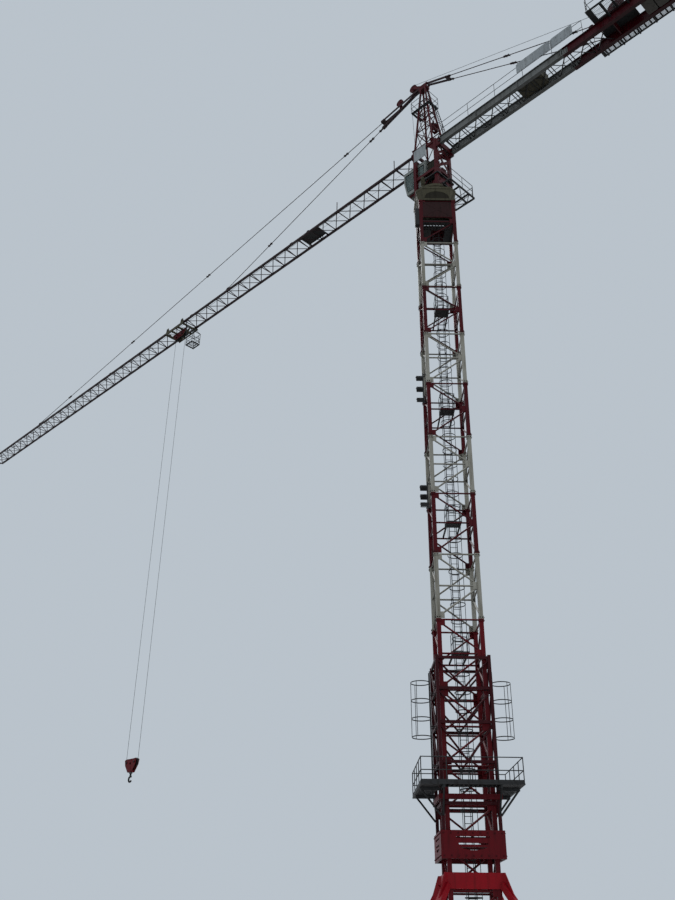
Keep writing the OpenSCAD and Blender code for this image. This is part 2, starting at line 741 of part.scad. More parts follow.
module rope_sheaves() color(red) in_jib_frame() {
    for (c = [[head_sheave, head_sheave_r], [link_sheave, link_sheave_r], [guide_sheave, guide_sheave_r]])
        translate(c[0]) {
            sheave(c[1]);
            rotate([90, 0, 0]) cylinder(d = 48.1, h = 120, center = true, $fn = 32);
        }
    // cheek plates from the apex to the head sheave
    for (y = [-48, 48]) beam([apex_x + 90, y, apex_z - 30], head_sheave + [0, y, 0], 14, 110);
    for (y = [-48, 48]) translate(link_sheave + [-60, y - 7, -220]) cube([120, 14, 250]);
    for (y = [-48, 48]) beam([front_x + 10, y, jib_z + 60], guide_sheave + [0, y, 0], 14, 90);
}

// Jib

chord_y = jib_w / 2;
brace_y = jib_w / 2 - chord_t / 4;
nodes_z = chord_t / 2 - jib_brace_t / 2;
upper_chord_d = 58;

// One panel of the jib from x = 0: cross strut, diagonal below, and the zigzag of both sides
module jib_panel() {
    bar([0, -chord_y, 0], [0, chord_y, 0], jib_brace_t);
    bar([25, -chord_y, 0], [panel_l - 25, chord_y, 0], jib_brace_t * 0.8);
    for (s = [-1, 1]) {
        bar([18, s * brace_y, nodes_z], [panel_l / 2 - 12, 0, jib_d], jib_brace_t);
        bar([panel_l - 18, s * brace_y, nodes_z], [panel_l / 2 + 12, 0, jib_d], jib_brace_t);
    }
}

module jib_part(first, last) color(red) in_jib_frame() translate([jib_foot + first * panel_l, 0, jib_z]) {
    length = (last - first) * panel_l;
    start = first == 0 ? panel_l / 2 : 0;
    for (s = [-1, 1])
        translate([0, s * chord_y - chord_t / 2, -chord_t / 2]) cube([length, chord_t, chord_t]);
    translate([start, 0, jib_d]) rotate([0, 90, 0]) cylinder(d = upper_chord_d, h = length - start, $fn = 12);
    for (i = [0 : last - first - 1]) translate([i * panel_l, 0, 0]) jib_panel();
}

module jib_part_1() {
    jib_part(0, 9);
    color(red) in_jib_frame() translate([0, 0, jib_z]) {
        for (s = [-1, 1])
            beam([front_x + post_t / 2 + 50, s * chord_y, 0], [jib_foot + 20, s * chord_y, 0], 50, 90);
        bar([jib_foot, -chord_y, 0], [jib_foot, chord_y, 0], 60);
        for (i = [1.5, 5.5]) translate([jib_foot + i * panel_l, 0, jib_d]) cylinder(d = 30, h = 430, $fn = 8);
    }
}
module jib_part_2() jib_part(9, 18);
module jib_part_3() jib_part(18, 27);
module jib_part_4() jib_part(27, 36);
module jib_part_5() {
    jib_part(36, panel_count);
    color(red) in_jib_frame() translate([jib_end, 0, jib_z]) {
        bar([0, -chord_y, 0], [0, chord_y, 0], 50);
        for (s = [-1, 1]) {
            bar([0, s * chord_y, 0], [400, s * 60, 60], 50);
            bar([400, s * 60, 60], [0, 0, jib_d], 40);
        }
        translate(nose_sheave - [jib_end, 0, jib_z]) {
            sheave(nose_sheave_r, 50);
            rotate([90, 0, 0]) cylinder(d = 48.1, h = 190, center = true, $fn = 32);
        }
    }
}

// Trolley winch inside the jib
winch_x = 5200;

module trolley_winch() color(steel) in_jib_frame() translate([winch_x, 0, jib_z + chord_t / 2]) {
    for (x = [0, 860]) beam([x, -chord_y + 10, 12], [x, chord_y - 10, 12], 60, 24);
    translate([0, -230, 24]) cube([860, 460, 20]);
    translate([120, -200, 44]) cube([280, 180, 150]);
    translate([560, 0, 150]) rotate([90, 0, 0]) cylinder(d = 190, h = 400, center = true, $fn = 48);
    for (y = [-190, 190]) translate([560, y, 44]) block([150, 16, 150]);
}

// Ties

tie_d = 26;
long_foot = [jib_foot + 36.5 * panel_l, 0, jib_top + 60];
short_foot = [jib_foot + 14.5 * panel_l, 0, jib_top + 60];
tie_head = [apex_x + 150, 0, apex_z - 10];

function on_line(a, b, distance) = a + (b - a) * (distance / norm(b - a));

// Tie rod with couplings at the given distances from its head
module tie_rod(head, foot, couplings) {
    bar(head, foot, tie_d, 8);
    for (c = couplings) bar(on_line(head, foot, c - 110), on_line(head, foot, c + 110), 62, 8);
}

// Pair of flat link bars that start a tie, with their end block
module link_bars(head, foot, length, gap) {
    end = on_line(head, foot, length);
    for (y = [-gap / 2, gap / 2]) beam(head + [0, y, 0], end + [0, y, 0], 20, 80);
    beam(on_line(head, foot, length - 90), on_line(head, foot, length + 60), gap + 34, 96);
}

module tie_foot(foot) {
    translate(foot - [0, 0, 60]) rotate([90, 0, 0]) linear_extrude(26, center = true)
        polygon([[-170, 20], [170, 20], [60, 100], [-60, 100]]);
}

module jib_tie(foot, links, gap, couplings) color(red) in_jib_frame() {
    link_bars(tie_head, foot, links, gap);
    tie_rod(on_line(tie_head, foot, links), foot, [for (c = couplings) c - links]);
    tie_foot(foot);
}

module long_tie() {
    jib_tie(long_foot, 1810, 120, [3710, 11990, 17600, 23030]);
}

module short_tie() {
    jib_tie(short_foot, 1830, 60, [1960, 2470, 8150]);
}

counter_foot_x = -tail_l + 2500;
girder_y = girder_gap / 2;
girder_z1 = jib_z + 50;
girder_z0 = girder_z1 - girder_h;

module counter_ties() color(red) in_jib_frame() {
    head = [apex_x - 130, 0, apex_z - 20];
    for (s = [-1, 1]) {
        start = head + [0, s * 48, 0];
        foot = [counter_foot_x, s * girder_y, girder_z1 + 80];
        beam(start, on_line(start, foot, 1050), 20, 80);
        tie_rod(on_line(start, foot, 1000), foot, [60, 2700, 5300]);
        translate([counter_foot_x, s * girder_y, girder_z1]) rotate([90, 0, 0])
            linear_extrude(24, center = true) polygon([[-110, 0], [110, 0], [50, 130], [-50, 130]]);
    }
    middle = [counter_foot_x, 0, girder_z1];
    beam(on_line(head, middle, 940), on_line(head, middle, 1060), 190, 70);
}

winch_drum = [-tail_l + 1750, 0, girder_z1 + 330];
winch_drum_r = 190;

// Distance of the rope's centre from the centre of a sheave that carries it
function on_sheave(r) = r - groove + rope_d / 2;

module hoist_rope() color(steel) in_jib_frame() {
    lift = atan2(head_sheave[2] - winch_drum[2], head_sheave[0] - winch_drum[0]);
    up = [-sin(lift), 0, cos(lift)];
    bar(winch_drum + up * (winch_drum_r + rope_d / 2), head_sheave + up * on_sheave(head_sheave_r), rope_d);
    bar(head_sheave + [on_sheave(head_sheave_r), 0, 0],
        guide_sheave - [on_sheave(guide_sheave_r), 0, 0], rope_d);
    bar(guide_sheave - [0, 0, on_sheave(guide_sheave_r)],
        nose_sheave + [0, 0, on_sheave(nose_sheave_r)], rope_d);
}

// Counter-jib

module girder(x0, x1, z0, z1) {
    for (s = [-1, 1]) translate([x0, s * girder_y, 0]) {
        translate([0, -7, z0]) cube([x1 - x0, 14, z1 - z0]);
        for (z = [z0, z1 - 20]) translate([0, -girder_flange / 2, z]) cube([x1 - x0, girder_flange, 20]);
    }
}

grey_end = -tail_l + 3450;
stiffener_x = [-3600, -2050, grey_end + 60];

module counter_girders() color(white) in_jib_frame() {
    girder(grey_end, tail_root, girder_z0, girder_z1);
    for (x = stiffener_x, s = [-1, 1])
        translate([x, s * girder_y, girder_z0 + 10]) block([16, girder_flange - 6, girder_h - 20]);
}

module counter_girder_ends() color(red) in_jib_frame() {
    girder(-tail_l, grey_end, girder_z0 - 30, girder_z1);
    for (x = [-tail_l, -tail_l + 1900])
        translate([x, -girder_y, girder_z0]) cube([24, girder_gap, girder_h - 40]);
}

brace_bay = 640;
brace_pair = 50;

// Pairs of cross bars between the girders, with a diagonal and a thinner one across each bay
module counter_bracing() color(steel) in_jib_frame() {
    z = girder_z0 + 60;
    inner = girder_y - 7;
    for (x = [tail_root - 200 : -brace_bay : -tail_l + 2600]) {
        for (step = [-brace_pair, brace_pair]) bar([x + step, -inner, z], [x + step, inner, z], 30);
        bar([x - brace_pair, -inner, z], [x - brace_bay + brace_pair, inner, z], 36);
        bar([x - brace_pair, inner, z], [x - brace_bay + brace_pair, -inner, z], 24);
    }
}

railing_count = 5;
railing_step = (tail_l - 3500) / railing_count;
rail_y = girder_y + girder_flange / 2 - 12;

module counter_railing() color(steel) in_jib_frame()
    for (s = [-1, 1])
        railing([for (i = [0 : railing_count]) [-750 - i * railing_step, s * rail_y, girder_z1 - 4]],
                rail_h + 80, 16);

board_l = [1180, 740];
board_x = [grey_end + 360, grey_end - 400];
board_t = 14;

// Bare boards: one on the crane head's side, two on the counter-jib's handrail
module sign_boards() color([0.62, 0.66, 0.68]) in_jib_frame() {
    translate([-60, head_w / 2 + post_t / 2, jib_z - 380]) cube([front_x + 60, board_t, 480]);
    translate([-60, head_w / 2 + 38, jib_z + 10]) cube([40, post_t / 2 - 38, 40]);
    for (i = [0, 1]) translate([board_x[i], rail_y + 21, jib_z + 330]) rotate([90, 0, 0])
        linear_extrude(board_t)
            polygon([[0, 0], [board_l[i], 0], [board_l[i], 340], [board_l[i] - 80, 380], [0, 380]]);
}

cabinet_x = grey_end + 850;
cabinet_l = 850;
cabinet_top = 60;

module control_cabinet() color(olive) in_jib_frame() {
    w = girder_gap - girder_flange - 6;
    translate([cabinet_x, -w / 2, girder_z0 + 90]) cube([cabinet_l, w, girder_h - 90 + cabinet_top]);
    for (x = [100, cabinet_l - 160])
        translate([cabinet_x + x, -girder_y, girder_z1]) cube([60, 2 * girder_y, 12]);
}

deck_x0 = -tail_l + 1300;
deck_x1 = deck_x0 + 1070;
deck_y1 = 860;

module winch_deck() color(steel) in_jib_frame() {
    y0 = -girder_y - girder_flange / 2;
    difference() {
        translate([deck_x0, y0, girder_z1]) cube([deck_x1 - deck_x0, deck_y1 - y0, 16]);
        for (x = [deck_x0 + 60 : 300 : deck_x1 - 240])
            translate([x, girder_y + girder_flange / 2 + 40, girder_z1 - 1])
                cube([240, deck_y1 - girder_y - 150, 18]);
    }
    for (x = [deck_x0 + 30 : 570 : deck_x1])
        beam([x, girder_y, girder_z1 - 60], [x, deck_y1 - 10, girder_z1 - 30], 40, 60);
    r = deck_y1 - 10;
    railing([[deck_x1 - 12, girder_y + 40, girder_z1 + 16], [deck_x1 - 12, r - 60, girder_z1 + 16],
             [deck_x1 - 72, r, girder_z1 + 16], [(deck_x0 + deck_x1) / 2, r, girder_z1 + 16],
             [deck_x0 + 12, r, girder_z1 + 16], [deck_x0 + 12, girder_y + 40, girder_z1 + 16]],
            rail_h + 40, 18);
}

module hoist_winch() color(red) in_jib_frame() {
    z = girder_z1 + 16;
    for (y = [-260, 220]) translate([winch_drum[0], y, z]) block([330, 40, winch_drum[2] - z + 60]);
    translate(winch_drum) rotate([90, 0, 0]) {
        cylinder(r = winch_drum_r, h = 400, center = true, $fn = 64);
        for (y = [-200, 176]) translate([0, 0, y]) cylinder(r = winch_drum_r + 70, h = 24, $fn = 64);
        cylinder(d = 70, h = 540, center = true, $fn = 32);
    }
    translate([winch_drum[0] + 230, -250, z]) cube([360, 330, 300]);
    translate([winch_drum[0] + 230, 90, z]) cube([300, 170, 220]);
}

walk_y = -640;

module side_walkway() color(steel) in_jib_frame() {
    x0 = -tail_l;
    x1 = -tail_l + 2670;
    y1 = -girder_y - girder_flange / 2;
    difference() {
        translate([x0, walk_y, girder_z0 + 80]) cube([x1 - x0, y1 - walk_y, 16]);
        for (x = [x0 + 60 : 160 : x1 - 140]) translate([x, walk_y + 50, girder_z0 + 79]) cube([120, 140, 18]);
    }
    for (x = [x0 + 30 : 500 : x1])
        beam([x, walk_y + 10, girder_z0 + 55], [x, -girder_y - 7, girder_z0 + 55], 40, 50);
    railing([for (i = [0 : 5]) [x0 + 12 + i * (x1 - x0 - 24) / 5, walk_y + 12, girder_z0 + 96]],
            rail_h + 100, 18);
    railing([for (i = [0 : 4]) [x0 + 12 + i * 320, girder_y + 40, girder_z1 - 4]], rail_h, 18);
}

slab_t = 290;
slab_count = 3;

module counterweights() color([0.4, 0.4, 0.39]) in_jib_frame() {
    inner = girder_y - girder_flange / 2 - 8;
    for (i = [0 : slab_count - 1]) translate([-tail_l + 140 + i * (slab_t + 30), 0, 0]) {
        translate([0, -inner, girder_z0 - 20]) cube([slab_t, 2 * inner, girder_h + 640]);
        translate([slab_t / 2 - 45, -girder_y - 30, girder_z1]) cube([90, girder_gap + 60, 70]);
    }
}

// Trolley

wheel_r = 55;
wheel_w = 20;
trolley_l = 1240;
side_y = chord_y + chord_t / 2 + 24;
wheel_x = trolley_l / 2 - 110;
wheel_y = chord_y + chord_t / 2 - wheel_w / 2 - 4;
trolley_z = jib_z - chord_t / 2;
trolley_sheave_r = 150;
trolley_sheave_z = trolley_z - 260;

module in_trolley_frame() {
    in_jib_frame() translate([trolley_x, 0, 0]) children();
}

module trolley_frame() color(olive) in_trolley_frame() {
    for (s = [-1, 1]) {
        // side plate outside a chord, with arms that rise to the wheels
        translate([0, s * side_y + 8, trolley_z]) rotate([90, 0, 0]) linear_extrude(16)
            polygon([[-trolley_l / 2, -90], [-trolley_l / 2, -20], [-wheel_x - 60, 200], [-wheel_x + 60, 200],
                     [-wheel_x + 120, -10], [wheel_x - 120, -10], [wheel_x - 60, 200], [wheel_x + 60, 200],
                     [trolley_l / 2, -20], [trolley_l / 2, -90]]);
    }
    for (x = [-trolley_l / 2 + 40, trolley_l / 2 - 40, -fall_gap / 2 + 120, fall_gap / 2 - 120])
        beam([x, -side_y, trolley_z - 60], [x, side_y, trolley_z - 60], 60, 60);
    // cheek plates that hold the rope sheaves
    for (y = [-70, 70]) translate([0, y + 6, trolley_z - 60]) rotate([90, 0, 0]) linear_extrude(12)
        polygon([[-trolley_l / 2 + 40, 30], [trolley_l / 2 - 40, 30],
                 [fall_gap / 2 - 60, -290], [-fall_gap / 2 + 60, -290]]);
}

module trolley_wheels() color(steel) in_trolley_frame() {
    for (x = [-wheel_x, wheel_x], s = [-1, 1])
        translate([x, s * wheel_y, jib_z + chord_t / 2 + wheel_r + running_gap]) rotate([90, 0, 0]) {
            cylinder(r = wheel_r, h = wheel_w, center = true, $fn = 48);
            translate([0, 0, s > 0 ? -(side_y - wheel_y + 12) : 0])
                cylinder(d = 26, h = side_y - wheel_y + 12, $fn = 24);
        }
    sheave_x = fall_gap / 2 - on_sheave(trolley_sheave_r) - running_gap;
    for (x = [-1, 1]) translate([x * sheave_x, 0, trolley_sheave_z]) {
        sheave(trolley_sheave_r);
        rotate([90, 0, 0]) cylinder(d = 48.1, h = 190, center = true, $fn = 32);
    }
}

basket_x = -940;
basket_l = 440;
basket_w = 400;
basket_floor = jib_z - 1210;

module inspection_basket() color(steel) in_trolley_frame() {
    translate([basket_x, 0, basket_floor]) difference() {
        block([basket_l, basket_w, 40]);
        for (x = [-150 : 75 : 150]) translate([x, 0, -1]) block([45, basket_w - 80, 42]);
    }
    for (x = [-basket_l / 2 + 10, basket_l / 2 - 10], y = [-basket_w / 2 + 10, basket_w / 2 - 10])
        translate([basket_x + x, y, basket_floor]) cylinder(d = 20, h = 540, $fn = 6);
    for (z = [280, 530], s = [-1, 1]) {
        bar([basket_x - basket_l / 2 + 10, s * (basket_w / 2 - 10), basket_floor + z],
            [basket_x + basket_l / 2 - 10, s * (basket_w / 2 - 10), basket_floor + z], 20);
        bar([basket_x + s * (basket_l / 2 - 10), -basket_w / 2 + 10, basket_floor + z],
            [basket_x + s * (basket_l / 2 - 10), basket_w / 2 - 10, basket_floor + z], 20);
    }
    for (y = [-basket_w / 2 + 10, basket_w / 2 - 10]) {
        hung = [-trolley_l / 2 + 30, y, trolley_z - 80];
        bar([basket_x + basket_l / 2 - 10, y, basket_floor + 530], hung, 28);
        bar([basket_x - basket_l / 2 + 10, y, basket_floor + 530], hung + [0, 0, 35], 28);
    }
}

// Hook block and the falls of rope

block_sheave_r = 130;
block_h = 420;
shank_r = 30;
shank_gap = 0.05;
fall_top = trolley_sheave_z;
fall_foot = block_z - block_sheave_r + 20;

module rope_falls() color(steel) in_trolley_frame()
    for (x = [-1, 1]) translate([x * fall_gap / 2, 0, fall_foot])
        cylinder(d = rope_d, h = fall_top - fall_foot, $fn = 8);

module hook_block() color(red) in_trolley_frame() difference() {
    union() {
        for (y = [-60, 60]) translate([0, y + 7, block_z]) rotate([90, 0, 0])
            linear_extrude(14) difference() {
                polygon([[-fall_gap / 2 + 10, -30], [-fall_gap / 2 + 60, 0], [fall_gap / 2 - 60, 0],
                         [fall_gap / 2 - 10, -30], [fall_gap / 2 - 50, -190], [110, -block_h],
                         [-110, -block_h], [-fall_gap / 2 + 50, -190]]);
                translate([0, -150]) circle(d = 90, $fn = 32);
            }
        translate([0, 0, block_z - block_h]) block([200, 130, 60]);
        translate([0, 0, block_z - 40]) block([120, 110, 40]);
    }
    translate([0, 0, block_z - block_h - 1]) cylinder(r = shank_r + shank_gap, h = 62, $fn = 64);
}

module block_sheaves() color(steel) in_trolley_frame()
    for (x = [-1, 1])
        translate([x * (fall_gap / 2 - on_sheave(block_sheave_r) - running_gap), 0, fall_foot]) {
        sheave(block_sheave_r, 56);
        rotate([90, 0, 0]) cylinder(d = 48.1, h = 150, center = true, $fn = 32);
    }

hook_z = block_z - block_h - 5;

// Hook with its shank, which turns in the block's cross piece and hangs there by a nut
module hook() color([0.16, 0.16, 0.17]) in_trolley_frame() translate([0, 0, hook_z]) {
    translate([0, 0, 5 + 60 + 5]) cylinder(r = shank_r + 14, h = 40, $fn = 48);
    translate([0, 0, -60]) cylinder(r = shank_r, h = 160, $fn = 64);
    translate([0, 0, -36]) cylinder(d = 100, h = 36, $fn = 48);
    translate([0, 0, -110]) cylinder(d = 64, h = 80, $fn = 32);
    translate([0, 0, -210]) rotate([90, 0, 0]) {
        rotate([0, 0, -150]) rotate_extrude(angle = 270, $fn = 48)
            translate([82, 0]) circle(d = 56, $fn = 24);
    }
}

base_frame();
base_struts();
mast_foot_sections();
mast_red_sections();
mast_white_sections();
mast_ladder();
ladder_hoops();
rest_platforms();
floodlights();
climbing_frame();
climbing_collars();
climbing_deck();
climbing_railing();
side_ladders();
top_landing();
mast_head();
slewing_collar();
turntable();
crane_head();
head_balcony();
cab_shell();
cab_glazing();
tower_top();
top_bracing();
top_gallery();
top_ladder();
rope_sheaves();
sign_boards();
jib_part_1();
jib_part_2();
jib_part_3();
jib_part_4();
jib_part_5();
trolley_winch();
long_tie();
short_tie();
counter_ties();
hoist_rope();
counter_girders();
counter_girder_ends();
counter_bracing();
counter_railing();
control_cabinet();
winch_deck();
hoist_winch();
side_walkway();
counterweights();
trolley_frame();
trolley_wheels();
inspection_basket();
rope_falls();
hook_block();
block_sheaves();
hook();
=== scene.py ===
import math

import bpy
from mathutils import Matrix, Vector


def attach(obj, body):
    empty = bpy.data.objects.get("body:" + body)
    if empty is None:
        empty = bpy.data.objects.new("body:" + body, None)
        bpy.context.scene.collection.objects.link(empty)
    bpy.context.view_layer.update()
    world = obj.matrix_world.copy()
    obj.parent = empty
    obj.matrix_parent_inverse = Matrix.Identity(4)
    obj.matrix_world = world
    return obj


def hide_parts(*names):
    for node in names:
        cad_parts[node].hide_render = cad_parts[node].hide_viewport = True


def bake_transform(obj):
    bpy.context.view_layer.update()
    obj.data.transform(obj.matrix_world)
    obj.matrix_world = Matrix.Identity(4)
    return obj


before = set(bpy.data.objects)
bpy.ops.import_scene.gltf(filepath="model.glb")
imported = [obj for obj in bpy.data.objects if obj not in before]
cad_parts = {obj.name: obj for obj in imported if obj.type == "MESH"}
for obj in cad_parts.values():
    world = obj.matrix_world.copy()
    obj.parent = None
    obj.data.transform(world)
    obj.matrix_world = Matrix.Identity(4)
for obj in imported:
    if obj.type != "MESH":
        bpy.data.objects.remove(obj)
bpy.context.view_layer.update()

scene = bpy.context.scene
print("frame loaded:", len(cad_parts), "nodes")

# Camera: a person on the ground in front of the mast, who looks up
cameraSettings = {
    "eye": (-2.957, -21.328, 0.8),
    "pitchDeg": 28.77,
    "rollDeg": 0.72,
    "focalPixels": 908.0,
    "imageHeight": 900.0,
}


def makeCamera(cfg):
    data = bpy.data.cameras.new("photoCamera")
    data.sensor_width = 36.0
    data.lens = cfg["focalPixels"] / cfg["imageHeight"] * data.sensor_width
    data.clip_start = 0.1
    data.clip_end = 500.0
    cam = bpy.data.objects.new("photoCamera", data)
    scene.collection.objects.link(cam)
    pitch = Matrix.Rotation(math.radians(90 + cfg["pitchDeg"]), 4, "X")
    roll = Matrix.Rotation(math.radians(cfg["rollDeg"]), 4, "Z")
    cam.matrix_world = Matrix.Translation(cfg["eye"]) @ pitch @ roll
    scene.camera = cam


makeCamera(cameraSettings)

# Main sizes of the crane in metres, as in the CAD model
crane = {
    "legReach": 0.505,
    "legSize": 0.098,
    "sectionHeight": 1.666,
    "sectionCount": 12,
    "firstJoint": 1.03,
    "spliceReach": 0.566,
    "footReach": 1.6,
    "deckTop": 3.91,
    "headHalf": 0.325,
    "jibHeadingDeg": 134.1,
    "jibZ": 23.602,
    "jibFoot": 0.595,
    "jibPanel": 0.698,
    "jibPanels": 43,
    "jibHeight": 0.455,
    "chordY": 0.305,
    "girderY": 0.3,
    "girderTop": 23.652,
    "girderBottom": 23.352,
    "trolleyX": 13.8,
    "trolleyZ": 23.569,
}

# Pieces are drawn about their body's own zero, and these matrices put them in the shared frame
straight = Matrix.Identity(4)
jibTurn = Matrix.Rotation(math.radians(crane["jibHeadingDeg"]), 4, "Z")
trolleyTurn = jibTurn @ Matrix.Translation((crane["trolleyX"], 0, 0))
bodyPlace = {"tower": straight, "upper_works": jibTurn, "trolley": trolleyTurn, "hook_block": trolleyTurn,
             "hook": trolleyTurn}
quarterTurns = [Matrix.Rotation(math.radians(a), 4, "Z") for a in (0, 90, 180, 270)]
corners = [(x, y) for x in (-1, 1) for y in (-1, 1)]
upward, sideways = (0, 0, 1), (0, 1, 0)


# Materials
def addNode(tree, kind, place=(0, 0), **values):
    node = tree.nodes.new(kind)
    node.location = place
    for name, value in values.items():
        setattr(node, name, value)
    return node


def newMaterial(name):
    mat = bpy.data.materials.new(name)
    mat.use_nodes = True
    tree = mat.node_tree
    shader = tree.nodes["Principled BSDF"]
    return mat, tree, shader


def objectCoords(tree, scale=(1, 1, 1), place=(-1400, 0)):
    coords = addNode(tree, "ShaderNodeTexCoord", (place[0] - 200, place[1]))
    mapping = addNode(tree, "ShaderNodeMapping", place)
    mapping.inputs["Scale"].default_value = scale
    tree.links.new(coords.outputs["Object"], mapping.inputs["Vector"])
    return mapping.outputs["Vector"]


def noiseMask(tree, vector, scale, detail, low, high, place):
    noise = addNode(tree, "ShaderNodeTexNoise", place)
    noise.inputs["Scale"].default_value = scale
    noise.inputs["Detail"].default_value = detail
    ramp = addNode(tree, "ShaderNodeValToRGB", (place[0] + 200, place[1]))
    ramp.color_ramp.elements[0].position = low
    ramp.color_ramp.elements[1].position = high
    tree.links.new(vector, noise.inputs["Vector"])
    tree.links.new(noise.outputs["Fac"], ramp.inputs["Fac"])
    return ramp.outputs["Color"]


def mixColor(tree, mask, first, second, place):
    mix = addNode(tree, "ShaderNodeMix", place, data_type="RGBA")
    tree.links.new(mask, mix.inputs[0])
    for socket, value in ((mix.inputs[6], first), (mix.inputs[7], second)):
        if isinstance(value, tuple):
            socket.default_value = (*value, 1)
        else:
            tree.links.new(value, socket)
    return mix.outputs[2]


# Painted shade: the colour darkens where a face looks down, from the given height of its normal
undersideShadeSettings = {"full": -0.85, "tone": (0.30, 0.29, 0.28)}


def paintedUndersideShade(tree, color, start):
    geometry = addNode(tree, "ShaderNodeNewGeometry", (-800, 600))
    split = addNode(tree, "ShaderNodeSeparateXYZ", (-600, 600))
    under = addNode(tree, "ShaderNodeMapRange", (-400, 600))
    mix = addNode(tree, "ShaderNodeMix", (0, 300), data_type="RGBA", blend_type="MULTIPLY")
    under.inputs["From Min"].default_value = start
    under.inputs["From Max"].default_value = undersideShadeSettings["full"]
    mix.inputs[7].default_value = (*undersideShadeSettings["tone"], 1)
    tree.links.new(geometry.outputs["Normal"], split.inputs[0])
    tree.links.new(split.outputs["Z"], under.inputs["Value"])
    tree.links.new(under.outputs["Result"], mix.inputs[0])
    tree.links.new(color, mix.inputs[6])
    return mix.outputs[2]


# What the paints share, unless one says otherwise
paintDefaults = {
    "rough": 0.5, "dirtRough": 0.3, "metal": 0.0, "specular": 0.15, "shadeStart": 0.05, "runs": (6, 6, 0.7),
    "chips": 75.0, "grain": 60.0, "bump": 0.15, "bumpDepth": 0.002,
}


# Weathered paint: faded patches, dirt that runs down, chips with rust, painted shade on faces that look down,
# and a faint orange-peel bump
def paintMaterial(name, cfg):
    cfg = {**paintDefaults, **cfg}
    clean, faded, soiled, bare = cfg["tones"]
    mat, tree, shader = newMaterial(name)
    wide = objectCoords(tree, place=(-1400, 300))
    runs = objectCoords(tree, scale=cfg["runs"], place=(-1400, 0))
    fade = noiseMask(tree, wide, 0.9, 6, 0.42, 0.66, (-1100, 300))
    dirt = noiseMask(tree, runs, 2.2, 8, 0.50, 0.85, (-1100, 0))
    chip = noiseMask(tree, wide, cfg["chips"], 4, 0.65, 0.70, (-1100, -300))
    color = mixColor(tree, fade, clean, faded, (-600, 300))
    color = mixColor(tree, dirt, color, soiled, (-400, 200))
    color = mixColor(tree, chip, color, bare, (-200, 100))
    # faces that look down get painted shade
    tree.links.new(paintedUndersideShade(tree, color, cfg["shadeStart"]), shader.inputs["Base Color"])
    rough = addNode(tree, "ShaderNodeMapRange", (-400, -200))
    rough.inputs["To Min"].default_value = cfg["rough"]
    rough.inputs["To Max"].default_value = min(cfg["rough"] + cfg["dirtRough"], 1.0)
    tree.links.new(dirt, rough.inputs["Value"])
    tree.links.new(rough.outputs["Result"], shader.inputs["Roughness"])
    shader.inputs["Metallic"].default_value = cfg["metal"]
    shader.inputs["Specular IOR Level"].default_value = cfg["specular"]
    fine = addNode(tree, "ShaderNodeTexNoise", (-500, -500))
    fine.inputs["Scale"].default_value = cfg["grain"]
    tree.links.new(wide, fine.inputs["Vector"])
    bump = addNode(tree, "ShaderNodeBump", (-200, -400))
    bump.inputs["Strength"].default_value = cfg["bump"]
    bump.inputs["Distance"].default_value = cfg["bumpDepth"]
    tree.links.new(fine.outputs["Fac"], bump.inputs["Height"])
    tree.links.new(bump.outputs["Normal"], shader.inputs["Normal"])
    return mat


